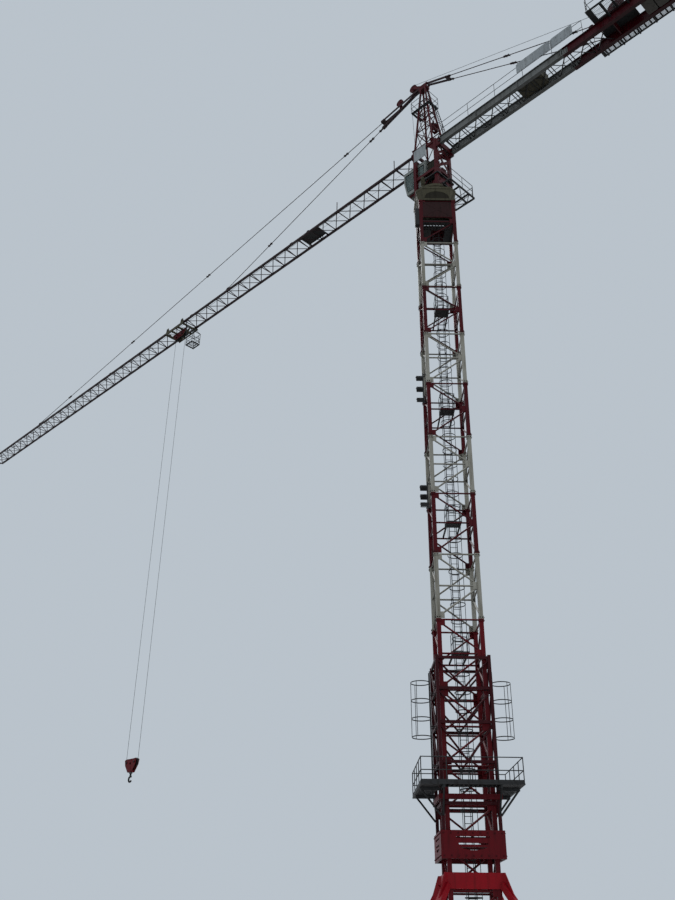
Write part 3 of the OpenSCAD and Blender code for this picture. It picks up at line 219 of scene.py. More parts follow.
# Tones of each paint: clean, faded, soiled and chipped
paints = {
    # one red paint in lit and shaded copies: this copy is the lit red
    "litRedPaint": {"tones": ((0.270, 0.0015, 0.008), (0.200, 0.003, 0.009),
        (0.110, 0.003, 0.006), (0.06, 0.014, 0.009)), "rough": 0.42},
    # the same red, darkened with painted shade
    "shadedRedPaint": {"tones": ((0.105, 0.0012, 0.005), (0.080, 0.002, 0.006),
        (0.045, 0.002, 0.004), (0.04, 0.012, 0.008)), "rough": 0.48},
    # the same red, darkened further with painted shade
    "shadedMaroonPaint": {"tones": ((0.066, 0.0015, 0.005), (0.050, 0.0025, 0.006),
        (0.024, 0.0025, 0.004), (0.034, 0.011, 0.008))},
    "endPaint": {"tones": ((0.042, 0.0012, 0.004), (0.034, 0.002, 0.005),
        (0.015, 0.002, 0.003), (0.030, 0.011, 0.008))},
    "jibPaint": {"tones": ((0.028, 0.008, 0.011), (0.022, 0.009, 0.011),
        (0.010, 0.007, 0.008), (0.030, 0.016, 0.012))},
    "whitePaint": {"tones": ((0.31, 0.31, 0.275), (0.24, 0.235, 0.20),
        (0.12, 0.108, 0.083), (0.10, 0.05, 0.03)), "rough": 0.55, "shadeStart": 0.20},
    "girderPaint": {"tones": ((0.150, 0.160, 0.160), (0.110, 0.118, 0.116),
        (0.055, 0.055, 0.050), (0.06, 0.04, 0.03))},
    "cabPaint": {"tones": ((0.22, 0.245, 0.235), (0.17, 0.19, 0.18),
        (0.085, 0.09, 0.08), (0.09, 0.06, 0.04)), "rough": 0.4},
    "olivePaint": {"tones": ((0.075, 0.070, 0.045), (0.052, 0.049, 0.033),
        (0.020, 0.018, 0.013), (0.04, 0.026, 0.015)), "rough": 0.6},
    "shadePaint": {"tones": ((0.022, 0.020, 0.014), (0.030, 0.027, 0.019),
        (0.012, 0.011, 0.008), (0.035, 0.024, 0.015)), "rough": 0.75},
    # soot and painted shade of the recessed plates on the mast's head
    "sootAndShadePaint": {"tones": ((0.030, 0.008, 0.009), (0.024, 0.011, 0.011),
        (0.014, 0.010, 0.009), (0.030, 0.018, 0.012)), "rough": 0.7},
    "greySteel": {"tones": ((0.034, 0.036, 0.039), (0.026, 0.027, 0.028),
        (0.013, 0.012, 0.011), (0.030, 0.019, 0.013)), "rough": 0.6},
    "zincSteel": {"tones": ((0.16, 0.165, 0.17), (0.11, 0.113, 0.116),
        (0.055, 0.053, 0.048), (0.24, 0.24, 0.24)), "rough": 0.45, "metal": 0.5},
    "darkSteel": {"tones": ((0.020, 0.021, 0.023), (0.030, 0.030, 0.030),
        (0.016, 0.013, 0.010), (0.08, 0.07, 0.065)), "rough": 0.45, "metal": 0.5},
    "boardPaint": {"tones": ((0.30, 0.335, 0.355), (0.24, 0.27, 0.29),
        (0.13, 0.14, 0.14), (0.18, 0.19, 0.19))},
    # concrete, darkened in part with painted shade of the ballast
    "shadedSlabConcrete": {"tones": ((0.100, 0.095, 0.087), (0.135, 0.129, 0.120),
        (0.045, 0.043, 0.038), (0.18, 0.17, 0.16)), "rough": 0.85, "grain": 25.0, "bump": 0.5},
    "wireRope": {"tones": ((0.020, 0.020, 0.020), (0.030, 0.029, 0.027),
        (0.014, 0.014, 0.014), (0.07, 0.06, 0.055)), "rough": 0.55, "metal": 0.3,
        "grain": 220.0, "bump": 0.6},
    "blackRubber": {"tones": ((0.010, 0.010, 0.011), (0.016, 0.016, 0.016),
        (0.024, 0.022, 0.019), (0.02, 0.02, 0.02)), "rough": 0.75},
    "seatCloth": {"tones": ((0.035, 0.04, 0.055), (0.045, 0.05, 0.065),
        (0.022, 0.022, 0.026), (0.06, 0.06, 0.07)), "rough": 0.9, "grain": 400.0, "bump": 0.5},
}
glasses = {
    "cabGlass": {"dark": (0.05, 0.09, 0.085), "pale": (0.12, 0.16, 0.15), "alpha": 0.62},
    "lampGlass": {"dark": (0.55, 0.58, 0.58), "pale": (0.42, 0.44, 0.44), "alpha": 0.9},
}


# Glass under a thin film of dust
def glassMaterial(name, cfg):
    mat, tree, shader = newMaterial(name)
    film = noiseMask(tree, objectCoords(tree), 3.0, 5, 0.40, 0.75, (-1100, 0))
    tree.links.new(mixColor(tree, film, cfg["dark"], cfg["pale"], (-400, 0)), shader.inputs["Base Color"])
    shader.inputs["Roughness"].default_value = 0.08
    shader.inputs["Alpha"].default_value = cfg["alpha"]
    shader.inputs["IOR"].default_value = 1.5
    return mat


mats = {name: paintMaterial(name, cfg) for name, cfg in paints.items()}
mats.update({name: glassMaterial(name, cfg) for name, cfg in glasses.items()})
print("materials made:", len(mats))

# Finish of each CAD node
nodeFinish = {
    "litRedPaint": ["base_frame", "base_struts"],
    "shadedRedPaint": ["mast_foot_sections", "climbing_collars", "hook_block"],
    "shadedMaroonPaint": ["mast_red_sections", "mast_head", "crane_head", "tower_top", "top_bracing",
                    "rope_sheaves"],
    "endPaint": ["climbing_frame", "counter_girder_ends", "hoist_winch"],
    "jibPaint": ["jib_part_1", "jib_part_2", "jib_part_3", "jib_part_4", "jib_part_5",
                 "long_tie", "short_tie", "counter_ties"],
    "whitePaint": ["mast_white_sections"],
    "girderPaint": ["counter_girders"],
    "cabPaint": ["cab_shell"],
    "olivePaint": ["slewing_collar", "turntable", "control_cabinet", "trolley_frame"],
    "greySteel": ["mast_ladder", "ladder_hoops", "rest_platforms", "floodlights", "climbing_deck",
                  "climbing_railing", "side_ladders", "top_landing", "head_balcony", "top_gallery",
                  "top_ladder", "counter_bracing", "counter_railing", "winch_deck", "side_walkway",
                  "inspection_basket", "trolley_winch"],
    "darkSteel": ["trolley_wheels", "block_sheaves", "hook"],
    "boardPaint": ["sign_boards"],
    "shadedSlabConcrete": ["counterweights"],
    "wireRope": ["hoist_rope", "rope_falls"],
    "cabGlass": ["cab_glazing"],
}


def finishNodes():
    for matName, names in nodeFinish.items():
        for name in names:
            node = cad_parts[name]
            node.data.materials.clear()
            node.data.materials.append(mats[matName])


finishNodes()
print("nodes finished")


# Shapes are lists of corners and faces until they become a piece
def newShape():
    return {"verts": [], "faces": []}


def addPart(shape, verts, faces):
    start = len(shape["verts"])
    shape["verts"] += [tuple(v) for v in verts]
    shape["faces"] += [tuple(i + start for i in face) for face in faces]


# Two directions square to a line
def sideAxes(along):
    helper = Vector((0, 0, 1)) if abs(along.z) < 0.9 else Vector((1, 0, 0))
    across = along.cross(helper).normalized()
    return across, across.cross(along).normalized()


# Evenly spaced values from first to last
def spread(first, last, count):
    return [first + (last - first) * i / (count - 1) for i in range(count)]


def circleAngles(count, shift=0.0):
    return [2 * math.pi * (i + shift) / count for i in range(count)]


# Faces between rings that follow each other, closed at both ends
def ringFaces(rings, sides):
    faces = [tuple(reversed(range(sides))), tuple((rings - 1) * sides + i for i in range(sides))]
    for start in range(0, (rings - 1) * sides, sides):
        for i in range(sides):
            k = (i + 1) % sides
            faces.append((start + i, start + k, start + sides + k, start + sides + i))
    return faces


# Rings along a line: (distance, radius) pairs turned about it
def addLathe(shape, start, along, profile, sides=12):
    start, along = Vector(start), Vector(along).normalized()
    across, up = sideAxes(along)
    verts = []
    for distance, radius in profile:
        for a in circleAngles(sides):
            verts.append(start + along * distance + (across * math.cos(a) + up * math.sin(a)) * radius)
    addPart(shape, verts, ringFaces(len(profile), sides))


# Flat plate: an outline in x and z, thickness towards -y, then placed by a matrix
def addPlate(shape, outline, thick, place=straight):
    count = len(outline)
    verts = [place @ Vector((x, y, z)) for y in (0, -thick) for x, z in outline]
    faces = [tuple(reversed(range(count))), tuple(range(count, 2 * count))]
    faces += [(i, (i + 1) % count, (i + 1) % count + count, i + count) for i in range(count)]
    addPart(shape, verts, faces)


def addRod(shape, start, end, diameter, sides=8):
    span = Vector(end) - Vector(start)
    addLathe(shape, start, span, [(0, diameter / 2), (span.length, diameter / 2)], sides)


def addPost(shape, x, y, bottom, top, diameter, sides=8):
    addRod(shape, (x, y, bottom), (x, y, top), diameter, sides)


# Rods along a closed outline
def addLoop(shape, points, diameter, sides=8):
    for a, b in zip(points, points[1:] + points[:1]):
        addRod(shape, a, b, diameter, sides)


# Tube through points, with rings square to the path
def addTube(shape, points, diameter, sides=8):
    points = [Vector(p) for p in points]
    verts = []
    across = None
    for n, point in enumerate(points):
        along = (points[min(n + 1, len(points) - 1)] - points[max(n - 1, 0)]).normalized()
        if across is None:
            across = sideAxes(along)[0]
        across = (across - along * across.dot(along)).normalized()
        up = across.cross(along)
        for a in circleAngles(sides):
            verts.append(point + (across * math.cos(a) + up * math.sin(a)) * diameter / 2)
    addPart(shape, verts, ringFaces(len(points), sides))


# Number of the first point at a box's corner, whose signs are given from an axis on
def cornerIndex(axis, signs):
    return 3 * sum(weight * (signs[(k - axis) % 3] > 0) for k, weight in enumerate((4, 2, 1)))


# Box with its edges cut off at 45 degrees, turned by a matrix about its middle
def addBlock(shape, middle, size, cut=0.0, turn=straight):
    half = [s / 2 for s in size]
    cut = min([cut] + [h * 0.45 for h in half])
    signs = [(x, y, z) for x, y in corners for z in (-1, 1)]
    place = Matrix.Translation(middle) @ turn
    if cut <= 0:
        verts = [place @ Vector([s * h for s, h in zip(sign, half)]) for sign in signs]
        addPart(shape, verts, [(0, 1, 3, 2), (4, 6, 7, 5), (0, 4, 5, 1), (2, 3, 7, 6), (0, 2, 6, 4),
                               (1, 5, 7, 3)])
        return
    verts = []
    for sign in signs:
        for axis in range(3):
            point = [s * (h if a == axis else h - cut) for a, (s, h) in enumerate(zip(sign, half))]
            verts.append(place @ Vector(point))
    faces = [[3 * n, 3 * n + 1, 3 * n + 2][::x * y * z] for n, (x, y, z) in enumerate(signs)]
    for axis in range(3):
        b, c = (axis + 1) % 3, (axis + 2) % 3
        for s in (-1, 1):
            ring = [cornerIndex(axis, (s, u, v)) + axis for u, v in ((-1, -1), (1, -1), (1, 1), (-1, 1))]
            faces.append(ring[::s])
        for u, v in corners:
            first, last = (cornerIndex(axis, (s, u, v)) for s in (-1, 1))
            faces.append([first + b, last + b, last + c, first + c][::-u * v])
    addPart(shape, verts, faces)


# Hexagon head on its washer
def addBolt(shape, place, along, size):
    washer, head = size * 0.68, size * 0.5
    addLathe(shape, place, along, [(-0.002, washer), (size * 0.14, washer)], 8)
    addLathe(shape, place, along, [(size * 0.13, head), (size * 0.62, head), (size * 0.72, size * 0.42)], 6)


# Bolts in a circle about a Y axis, with their heads towards +Y or -Y
def addBoltRing(shape, middle, radius, count, out, size):
    x, y, z = middle
    for a in circleAngles(count):
        addBolt(shape, (x + radius * math.cos(a), y, z + radius * math.sin(a)), (0, out, 0), size)


# Rows of bolts on the four faces round the mast
def addFaceBolts(shape, face, levels, half, count, size):
    for turn in quarterTurns:
        for z in levels:
            for x in spread(-half, half, count):
                addBolt(shape, turn @ Vector((x, -face, z)), turn @ Vector((0, -1, 0)), size)


# Rows of boxes about an origin: middle, size, cut and lean about Y in degrees
def addBlocks(shape, origin, rows):
    for middle, size, cut, lean in rows:
        turn = Matrix.Rotation(math.radians(lean), 4, "Y")
        addBlock(shape, Vector(origin) + Vector(middle), size, cut, turn)


# Tube that stands out from a face between two points
def addHandle(shape, first, last, out, diameter):
    first, last, out = Vector(first), Vector(last), Vector(out)
    addTube(shape, [first, first + out, last + out, last], diameter, 8)


# Profile of a turned form that is the same from both ends
def mirrored(half, length):
    return half + [(length - distance, radius) for distance, radius in reversed(half)]


# Pin with a wider head at each end
def addPin(shape, middle, along, length, diameter):
    along = Vector(along).normalized()
    start = Vector(middle) - along * length / 2
    r = diameter / 2
    half = [(0, r * 1.15), (0.006, r * 1.4), (0.016, r * 1.4), (0.018, r)]
    addLathe(shape, start, along, mirrored(half, length), 12)


# Grooved wheel about a Y axis; wheel holds its radius and width, and the rim, slope and depth of its groove
def addPulley(shape, middle, wheel, sides):
    radius, width, rim, slope, depth = wheel
    x, y, z = middle
    half = [(0, radius), (rim, radius), (rim + slope, radius - depth)]
    addLathe(shape, (x, y - width / 2, z), sideways, mirrored(half, width), sides)


# Arc of points about a Y axis, angles in degrees from +X towards +Z
def arcPoints(middle, radius, first, last, steps):
    x, y, z = middle
    angles = [math.radians(a) for a in spread(first, last, steps + 1)]
    return [(x + radius * math.cos(a), y, z + radius * math.sin(a)) for a in angles]


# Points of a curve from start to end that is drawn towards a third point
def bendPoints(start, bend, end, steps):
    a, b, c = Vector(start), Vector(bend), Vector(end)
    return [a.lerp(b, t / steps).lerp(b.lerp(c, t / steps), t / steps) for t in range(steps + 1)]


# Rope wound on a drum along Y, whose middle is given in x and z
def addWinding(shape, middle, radius, half, turns, steps, diameter):
    count = turns * steps
    points = []
    for i in range(count + 1):
        a = 2 * math.pi * i / steps
        y = -half + 2 * half * i / count
        points.append((middle[0] + radius * math.cos(a), y, middle[1] + radius * math.sin(a)))
    addTube(shape, points, diameter, 5)


def makePiece(name, shape, body, matName, place=None):
    place = bodyPlace[body] if place is None else place
    mesh = bpy.data.meshes.new(name)
    mesh.from_pydata([place @ Vector(v) for v in shape["verts"]], [], shape["faces"])
    mesh.validate()
    mesh.materials.append(mats[matName])
    piece = bpy.data.objects.new(name, mesh)
    scene.collection.objects.link(piece)
    if body:
        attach(piece, body)
    return piece


# Bolts at the joints of the mast's legs
spliceBolts = {"column": 0.028, "row": 0.036, "size": 0.024}


def makeSpliceBolts(cfg):
    shape = newShape()
    face, size = crane["spliceReach"], cfg["size"]
    for n in range(1, crane["sectionCount"]):
        for x, y in corners:
            for u, v in corners:
                reach = crane["legReach"] + u * cfg["column"]
                z = crane["firstJoint"] + n * crane["sectionHeight"] + v * cfg["row"]
                addBolt(shape, (x * reach, y * face, z), (0, y, 0), size)
                addBolt(shape, (x * face, y * reach, z), (x, 0, 0), size)
    makePiece("spliceBolts", shape, "tower", "darkSteel")


makeSpliceBolts(spliceBolts)

# Anchor rods and nuts on the four feet
footBolts = {"pitch": 0.145, "footTop": 0.036, "nut": 0.052,
             "rod": ((0, 0.015), (0.094, 0.015), (0.10, 0.010))}


def makeFootBolts(cfg):
    shape = newShape()
    reach, pitch = crane["footReach"], cfg["pitch"]
    for x, y in corners:
        for u, v in corners:
            px, py = x * reach + u * pitch, y * reach + v * pitch
            addLathe(shape, (px, py, 0.001), upward, cfg["rod"], 12)
            addBolt(shape, (px, py, cfg["footTop"]), upward, cfg["nut"])
    makePiece("footBolts", shape, "tower", "zincSteel")


makeFootBolts(footBolts)

# Crossed ribs and bolt rows on the plates of the mast's head, over dark skins that carry soot and painted
# shade of the recessed plates
headRibs = {"bottom": 20.35, "top": 20.93, "face": 0.554, "edge": 0.01, "sink": 0.001, "rib": (0.008, 0.036),
            "ribShort": 0.05, "stepOut": 0.001, "skin": 0.006, "cut": 0.002,
            "rows": (20.38, 20.91), "bolts": 8, "inset": 0.03, "bolt": 0.02}


def makeHeadRibs(cfg):
    ribs, bolts, skins = newShape(), newShape(), newShape()
    reach = crane["legReach"] - crane["legSize"] / 2 - cfg["edge"]
    rise, level = cfg["top"] - cfg["bottom"], (cfg["top"] + cfg["bottom"]) / 2
    thick, wide = cfg["rib"]
    size = (math.hypot(rise, 2 * reach) - cfg["ribShort"], thick, wide)
    for turn in quarterTurns:
        skin = Vector((0, -cfg["face"] - cfg["sink"], level))
        addBlock(skins, turn @ skin, (2 * reach - 0.02, cfg["skin"], rise + 0.02), cfg["cut"], turn)
        for s in (-1, 1):
            lean = Matrix.Rotation(s * math.atan2(rise, 2 * reach), 4, "Y")
            # one rib stands a little further out, so that no two faces share a plane where they cross
            out = cfg["face"] + thick / 2 - cfg["sink"] + cfg["stepOut"] * (s + 1) / 2
            addBlock(ribs, turn @ Vector((0, -out, level)), size, cfg["cut"], turn @ lean)
    addFaceBolts(bolts, cfg["face"], cfg["rows"], reach - cfg["inset"], cfg["bolts"], cfg["bolt"])
    makePiece("headShadeSkins", skins, "tower", "sootAndShadePaint")
    makePiece("headRibs", ribs, "tower", "sootAndShadePaint")
    makePiece("headBolts", bolts, "tower", "darkSteel")


makeHeadRibs(headRibs)

# Electric conduit with clips on the inside of a leg
conduit = {"place": (-0.43, 0.43), "pitch": 0.036, "diameter": 0.03, "bottom": 0.36, "top": 20.9,
           "clip": (0.1, 0.034, 0.03), "clipShift": (0.012, 0.014, 0.3), "clipStep": 0.833}


def makeConduit(cfg):
    shape = newShape()
    x, y = cfg["place"]
    for dx in (0, cfg["pitch"]):
        addPost(shape, x + dx, y, cfg["bottom"], cfg["top"], cfg["diameter"], 10)
    clip = Vector((x, y, cfg["bottom"])) + Vector(cfg["clipShift"])
    while clip.z < cfg["top"]:
        addBlock(shape, clip, cfg["clip"], 0.004)
        clip.z += cfg["clipStep"]
    makePiece("conduit", shape, "tower", "blackRubber")


makeConduit(conduit)

# Lenses, cooling fins and leads of the floodlights
lamps = {
    "x": -0.744, "poleX": -0.644,
    "groups": ((12.692, (1.130, 1.475, 1.830), (35, 60, 55)),
               (11.026, (-0.330, -0.105, 0.150), (15, 50, 55))),
    "lens": (0.138, 0.098, 0.008), "lensDrop": 0.060,
    "fin": (0.005, 0.096, 0.020), "finRise": 0.036, "finHalf": 0.06, "fins": 7,
    "bolts": (-0.09, 0.084), "leadSag": (0, 0.02, -0.05),
}


def makeLamps(cfg):
    lens, fins, leads = newShape(), newShape(), newShape()
    poleX, y = cfg["poleX"], -crane["legReach"]
    for base, heights, tilts in cfg["groups"]:
        for height, tilt in zip(heights, tilts):
            turn = Matrix.Rotation(math.radians(tilt), 4, "X")
            place = Matrix.Translation((cfg["x"], y, base + height))
            addBlock(lens, place @ turn @ Vector((0, 0, -cfg["lensDrop"])), cfg["lens"], 0.003, turn)
            for x in spread(-cfg["finHalf"], cfg["finHalf"], cfg["fins"]):
                addBlock(fins, place @ turn @ Vector((x, 0, cfg["finRise"])), cfg["fin"], 0.001, turn)
            for x in cfg["bolts"]:
                addBolt(fins, place @ Vector((x, -0.008, 0)), (0, -1, 0), 0.024)
            back = place @ turn @ Vector((0.05, 0.056, 0.0))
            pole = Vector((poleX, y + 0.016, base + height + 0.10))
            sag = (back + pole) / 2 + Vector(cfg["leadSag"])
            addTube(leads, bendPoints(back, sag, pole, 5), 0.010, 6)
        addPost(leads, poleX, y + 0.019, base + heights[0] - 0.08, base + heights[2] + 0.10, 0.012, 6)
    makePiece("lampLenses", lens, "tower", "lampGlass")
    makePiece("lampFins", fins, "tower", "greySteel")
    makePiece("lampLeads", leads, "tower", "blackRubber")


makeLamps(lamps)
print("mast pieces made")

# Chequer plates on the climbing platform, with their screws
deckPlates = {"inner": 0.72, "outer": 1.075, "thick": 0.004, "gap": 0.006, "count": 3, "screw": 0.010,
              "inset": 0.03}


def makeDeckPlates(cfg):
    plates, screws = newShape(), newShape()
    inner, outer, thick, inset = cfg["inner"], cfg["outer"], cfg["thick"], cfg["inset"]
    width, length = outer - inner, (inner + outer) / cfg["count"]
    for turn in quarterTurns:
        for i in range(cfg["count"]):
            place = Vector(((i + 0.5) * length - outer, -(inner + outer) / 2, crane["deckTop"] + thick / 2))
            addBlock(plates, turn @ place, (length - cfg["gap"], width, thick), 0.0015, turn)
            for u, v in corners:
                screw = place + Vector((u * (length / 2 - inset), v * (width / 2 - inset), 0.001))
                addBolt(screws, turn @ screw, upward, cfg["screw"])
    makePiece("deckPlates", plates, "tower", "greySteel")
    makePiece("deckScrews", screws, "tower", "zincSteel")


makeDeckPlates(deckPlates)

# Bolts through the climbing frame's collars
collarBolts = {"face": 0.683, "levels": (2.53, 2.97), "half": 0.62, "count": 9, "size": 0.026}


def makeCollarBolts(cfg):
    shape = newShape()
    addFaceBolts(shape, cfg["face"], cfg["levels"], cfg["half"], cfg["count"], cfg["size"])
    makePiece("collarBolts", shape, "tower", "shadedMaroonPaint")


makeCollarBolts(collarBolts)

# Shaded arches in the flared faces of the collar below the ring
collarArches = {"bottom": 21.074, "top": 21.440, "footReach": 0.562, "topReach": 0.606, "half": 0.385,
                "lift": 0.02, "rise": 0.25, "thick": 0.006, "rim": 0.014, "steps": 16}


def makeCollarArches(cfg):
    shape, rims = newShape(), newShape()
    foot, bottom, thick = cfg["footReach"], cfg["bottom"], cfg["thick"]
    lean = Matrix.Rotation(math.atan2(cfg["topReach"] - foot, cfg["top"] - bottom), 4, "X")
    place = Matrix.Translation((0, 0.001 - foot, bottom)) @ lean
    arch = [(cfg["half"] * math.cos(a), cfg["lift"] + cfg["rise"] * math.sin(a))
            for a in spread(0, math.pi, cfg["steps"] + 1)]
    for turn in quarterTurns:
        addPlate(shape, arch, thick, turn @ place)
        addTube(rims, [turn @ place @ Vector((x, -thick, z)) for x, z in arch], cfg["rim"], 6)
    makePiece("collarArches", shape, "tower", "shadePaint")
    makePiece("collarRims", rims, "tower", "olivePaint")


makeCollarArches(collarArches)

# Slewing gear: bolts of the ring and two motors, whose profile is given in shares of their radius
slewGear = {"ringRadius": 0.575, "ringTop": 21.678, "bolts": 40, "bolt": 0.022, "headX": (-0.50, 0.52),
            "headY": 0.40, "motorY": 0.530, "motorClear": 0.09, "motorRadius": 0.068,
            "profile": ((0, 1.1), (0.014, 1.1), (0.016, 0.85), (0.13, 0.85), (0.135, 1.05), (0.15, 1.05),
                        (0.155, 0.8), (0.40, 0.8), (0.405, 0.88), (0.45, 0.88), (0.465, 0.7)),
            "ribs": 14, "rib": (0.014, 0.004, 0.22), "box": (0.05, 0.03, 0.07), "footBolts": 8}


def makeSlewGear(cfg):
    bolts, motors = newShape(), newShape()
    for a in circleAngles(cfg["bolts"]):
        x, y = math.cos(a) * cfg["ringRadius"], math.sin(a) * cfg["ringRadius"]
        underHead = abs(y) < cfg["headY"] and cfg["headX"][0] < x < cfg["headX"][1]
        if not underHead and math.hypot(x, abs(y) - cfg["motorY"]) >= cfg["motorClear"]:
            addBolt(bolts, (x, y, cfg["ringTop"]), upward, cfg["bolt"])
    r = cfg["motorRadius"]
    for s in (-1, 1):
        base = Vector((0, s * cfg["motorY"], cfg["ringTop"]))
        addLathe(motors, base, upward, [(z, r * share) for z, share in cfg["profile"]], 20)
        for a in circleAngles(cfg["ribs"]):
            turn = Matrix.Rotation(a, 4, "Z")
            addBlock(motors, base + turn @ Vector((r * 0.84, 0, 0.28)), cfg["rib"], 0, turn)
        addBlock(motors, base + Vector((0, -s * r * 0.95, 0.26)), cfg["box"], 0.005)
        for a in circleAngles(cfg["footBolts"], 0.5):
            place = base + Vector((math.cos(a), math.sin(a), 0)) * r * 0.97 + Vector((0, 0, 0.014))
            addBolt(motors, place, upward, 0.009)
    makePiece("ringBolts", bolts, "upper_works", "darkSteel")
    makePiece("slewMotors", motors, "upper_works", "olivePaint")


makeSlewGear(slewGear)

# Grating behind the cab at its floor's level, with switch cabinets on it and cables that sag from them
# down to the ring and over to the counter-jib: each is given by its start, its bend and its end
headService = {
    "x0": -0.50, "x1": 0.04, "half": 0.40, "level": 22.160, "frame": 0.040, "bar": 0.006, "pitch": 0.036,
    "crossBars": (-0.27, -0.13, 0.0, 0.13, 0.27),
    "cabinets": ((-0.17, 0.155, 0.34, 0.20, 0.72), (-0.20, -0.165, 0.28, 0.18, 0.56)),
    "foot": 0.04, "lid": (0.03, 0.016), "handle": (0.012, 0.014, 0.06), "slats": 5, "slatPitch": 0.022,
    "cable": 0.022,
    "routes": (((-0.10, 0.20, 22.22), (-0.25, 0.42, 21.78), (-0.05, 0.36, 21.70)),
               ((0.00, 0.12, 22.22), (0.10, 0.10, 21.60), (-0.02, -0.28, 21.95)),
               ((-0.22, -0.20, 22.22), (-0.36, -0.36, 21.80), (-0.10, -0.44, 21.72)),
               ((-0.20, 0.10, 22.90), (-0.30, 0.16, 23.34), (-0.62, 0.24, 23.42)),
               ((-0.14, -0.10, 22.74), (-0.26, -0.12, 23.28), (-0.62, -0.22, 23.42))),
}


def makeHeadService(cfg):
    grating, boxes, cables = newShape(), newShape(), newShape()
    x0, x1, half, z, edge, bar = (cfg[key] for key in ("x0", "x1", "half", "level", "frame", "bar"))
    middle = (x0 + x1) / 2
    for s in (-1, 1):
        addBlock(grating, (middle, s * half, z), (x1 - x0, edge, edge), 0.003)
    for x in (x0, middle, x1):
        addBlock(grating, (x, 0, z), (edge, 2 * half, edge), 0.003)
    for x in spread(x0, x1, int((x1 - x0) / cfg["pitch"]) + 1)[1:-1]:
        addBlock(grating, (x, 0, z + 0.012), (bar, 2 * half, 0.022))
    for y in cfg["crossBars"]:
        addBlock(grating, (middle, y, z + 0.016), (x1 - x0, bar, 0.012))
    for x, y, length, width, height in cfg["cabinets"]:
        base, outer = z + cfg["foot"], math.copysign(1, y)
        over, lid = cfg["lid"]
        addBlock(boxes, (x, y, base + height / 2), (length, width, height), 0.008)
        addBlock(boxes, (x, y, base + height + lid / 2), (length + over, width + over, lid), 0.005)
        for side in (-1, 1):
            dx, dy, dz = x + side * length / 4, y + outer * (width / 2 + 0.003), base + height / 2
            addBlock(boxes, (dx, dy, dz), (length / 2 - 0.012, 0.008, height - 0.04), 0.003)
            grip = (dx - side * (length / 4 - 0.03), dy + outer * 0.008, dz)
            addBlock(boxes, grip, cfg["handle"], 0.003)
            for k in range(cfg["slats"]):
                slat = (dx, dy + outer * 0.005, base + 0.08 + k * cfg["slatPitch"])
                addBlock(boxes, slat, (length / 2 - 0.06, 0.006, 0.008))
    for route in cfg["routes"]:
        addTube(cables, bendPoints(*route, 12), cfg["cable"], 8)
    makePiece("headGrating", grating, "upper_works", "greySteel")
    makePiece("headCabinets", boxes, "upper_works", "shadePaint")
    makePiece("headCables", cables, "upper_works", "blackRubber")


makeHeadService(headService)

# Cab fittings in the cab's own frame, with z from its floor: seals round the panes, roof, door, wiper,
# rails, lamps, seat and desk
cabFit = {
    "floor": 22.148, "front": 0.985, "half": 0.272, "slope": 0.105, "sill": 0.55, "seal": 0.016,
    "sidePanes": (((0.575, 0.13), (0.835, 0.13), (0.92, 0.55), (0.92, 0.87), (0.575, 0.87)),
                  ((0.14, 0.43), (0.5, 0.43), (0.5, 0.87), (0.14, 0.87))),
    "frontPanes": ((0.10, 0.48), (0.59, 0.88)), "paneHalf": 0.212,
    "rail": (0.08, 0.30, 0.85), "railOut": 0.03, "railSize": 0.014,
    # roof, hatch and door
    "shell": (((0.5225, 0, 0.992), (0.975, 0.556, 0.024), 0.008, 0),
              ((0.32, 0, 1.03), (0.30, 0.30, 0.055), 0.015, 0),
              ((0.32, -0.275, 0.22), (0.40, 0.008, 0.37), 0.004, 0)),
    "ventilator": ((0, 0.05), (0.03, 0.05), (0.032, 0.07), (0.055, 0.06), (0.065, 0.02)),
    "hinges": (0.12, 0.34), "handle": ((0.46, -0.272, 0.36), (0.40, -0.272, 0.36), (0, -0.026, 0)),
    "wiper": ((0.989, 0.0, 0.58), (0.999, 0.0, 0.60), (0.999, 0.10, 0.78)),
    "wiperBlade": (((0.993, 0.10, 0.76), (0.008, 0.012, 0.18), 0.002, 0),),
    "lamp": ((0, 0.02), (0.012, 0.032), (0.035, 0.034)), "lampY": 0.16,
    "seat": (((0.565, 0, 0.30), (0.24, 0.26, 0.06), 0.02, 0),
             ((0.435, 0, 0.50), (0.06, 0.25, 0.36), 0.02, -8),
             ((0.405, 0, 0.73), (0.05, 0.15, 0.09), 0.02, -8)),
    "seatPost": ((0, 0.09), (0.02, 0.08), (0.03, 0.03), (0.25, 0.03)),
    "desk": (0.26, 0.07, 0.16), "deskY": 0.19,
    "lever": ((0, 0.012), (0.06, 0.008), (0.065, 0.016), (0.09, 0.014), (0.095, 0.006)),
}


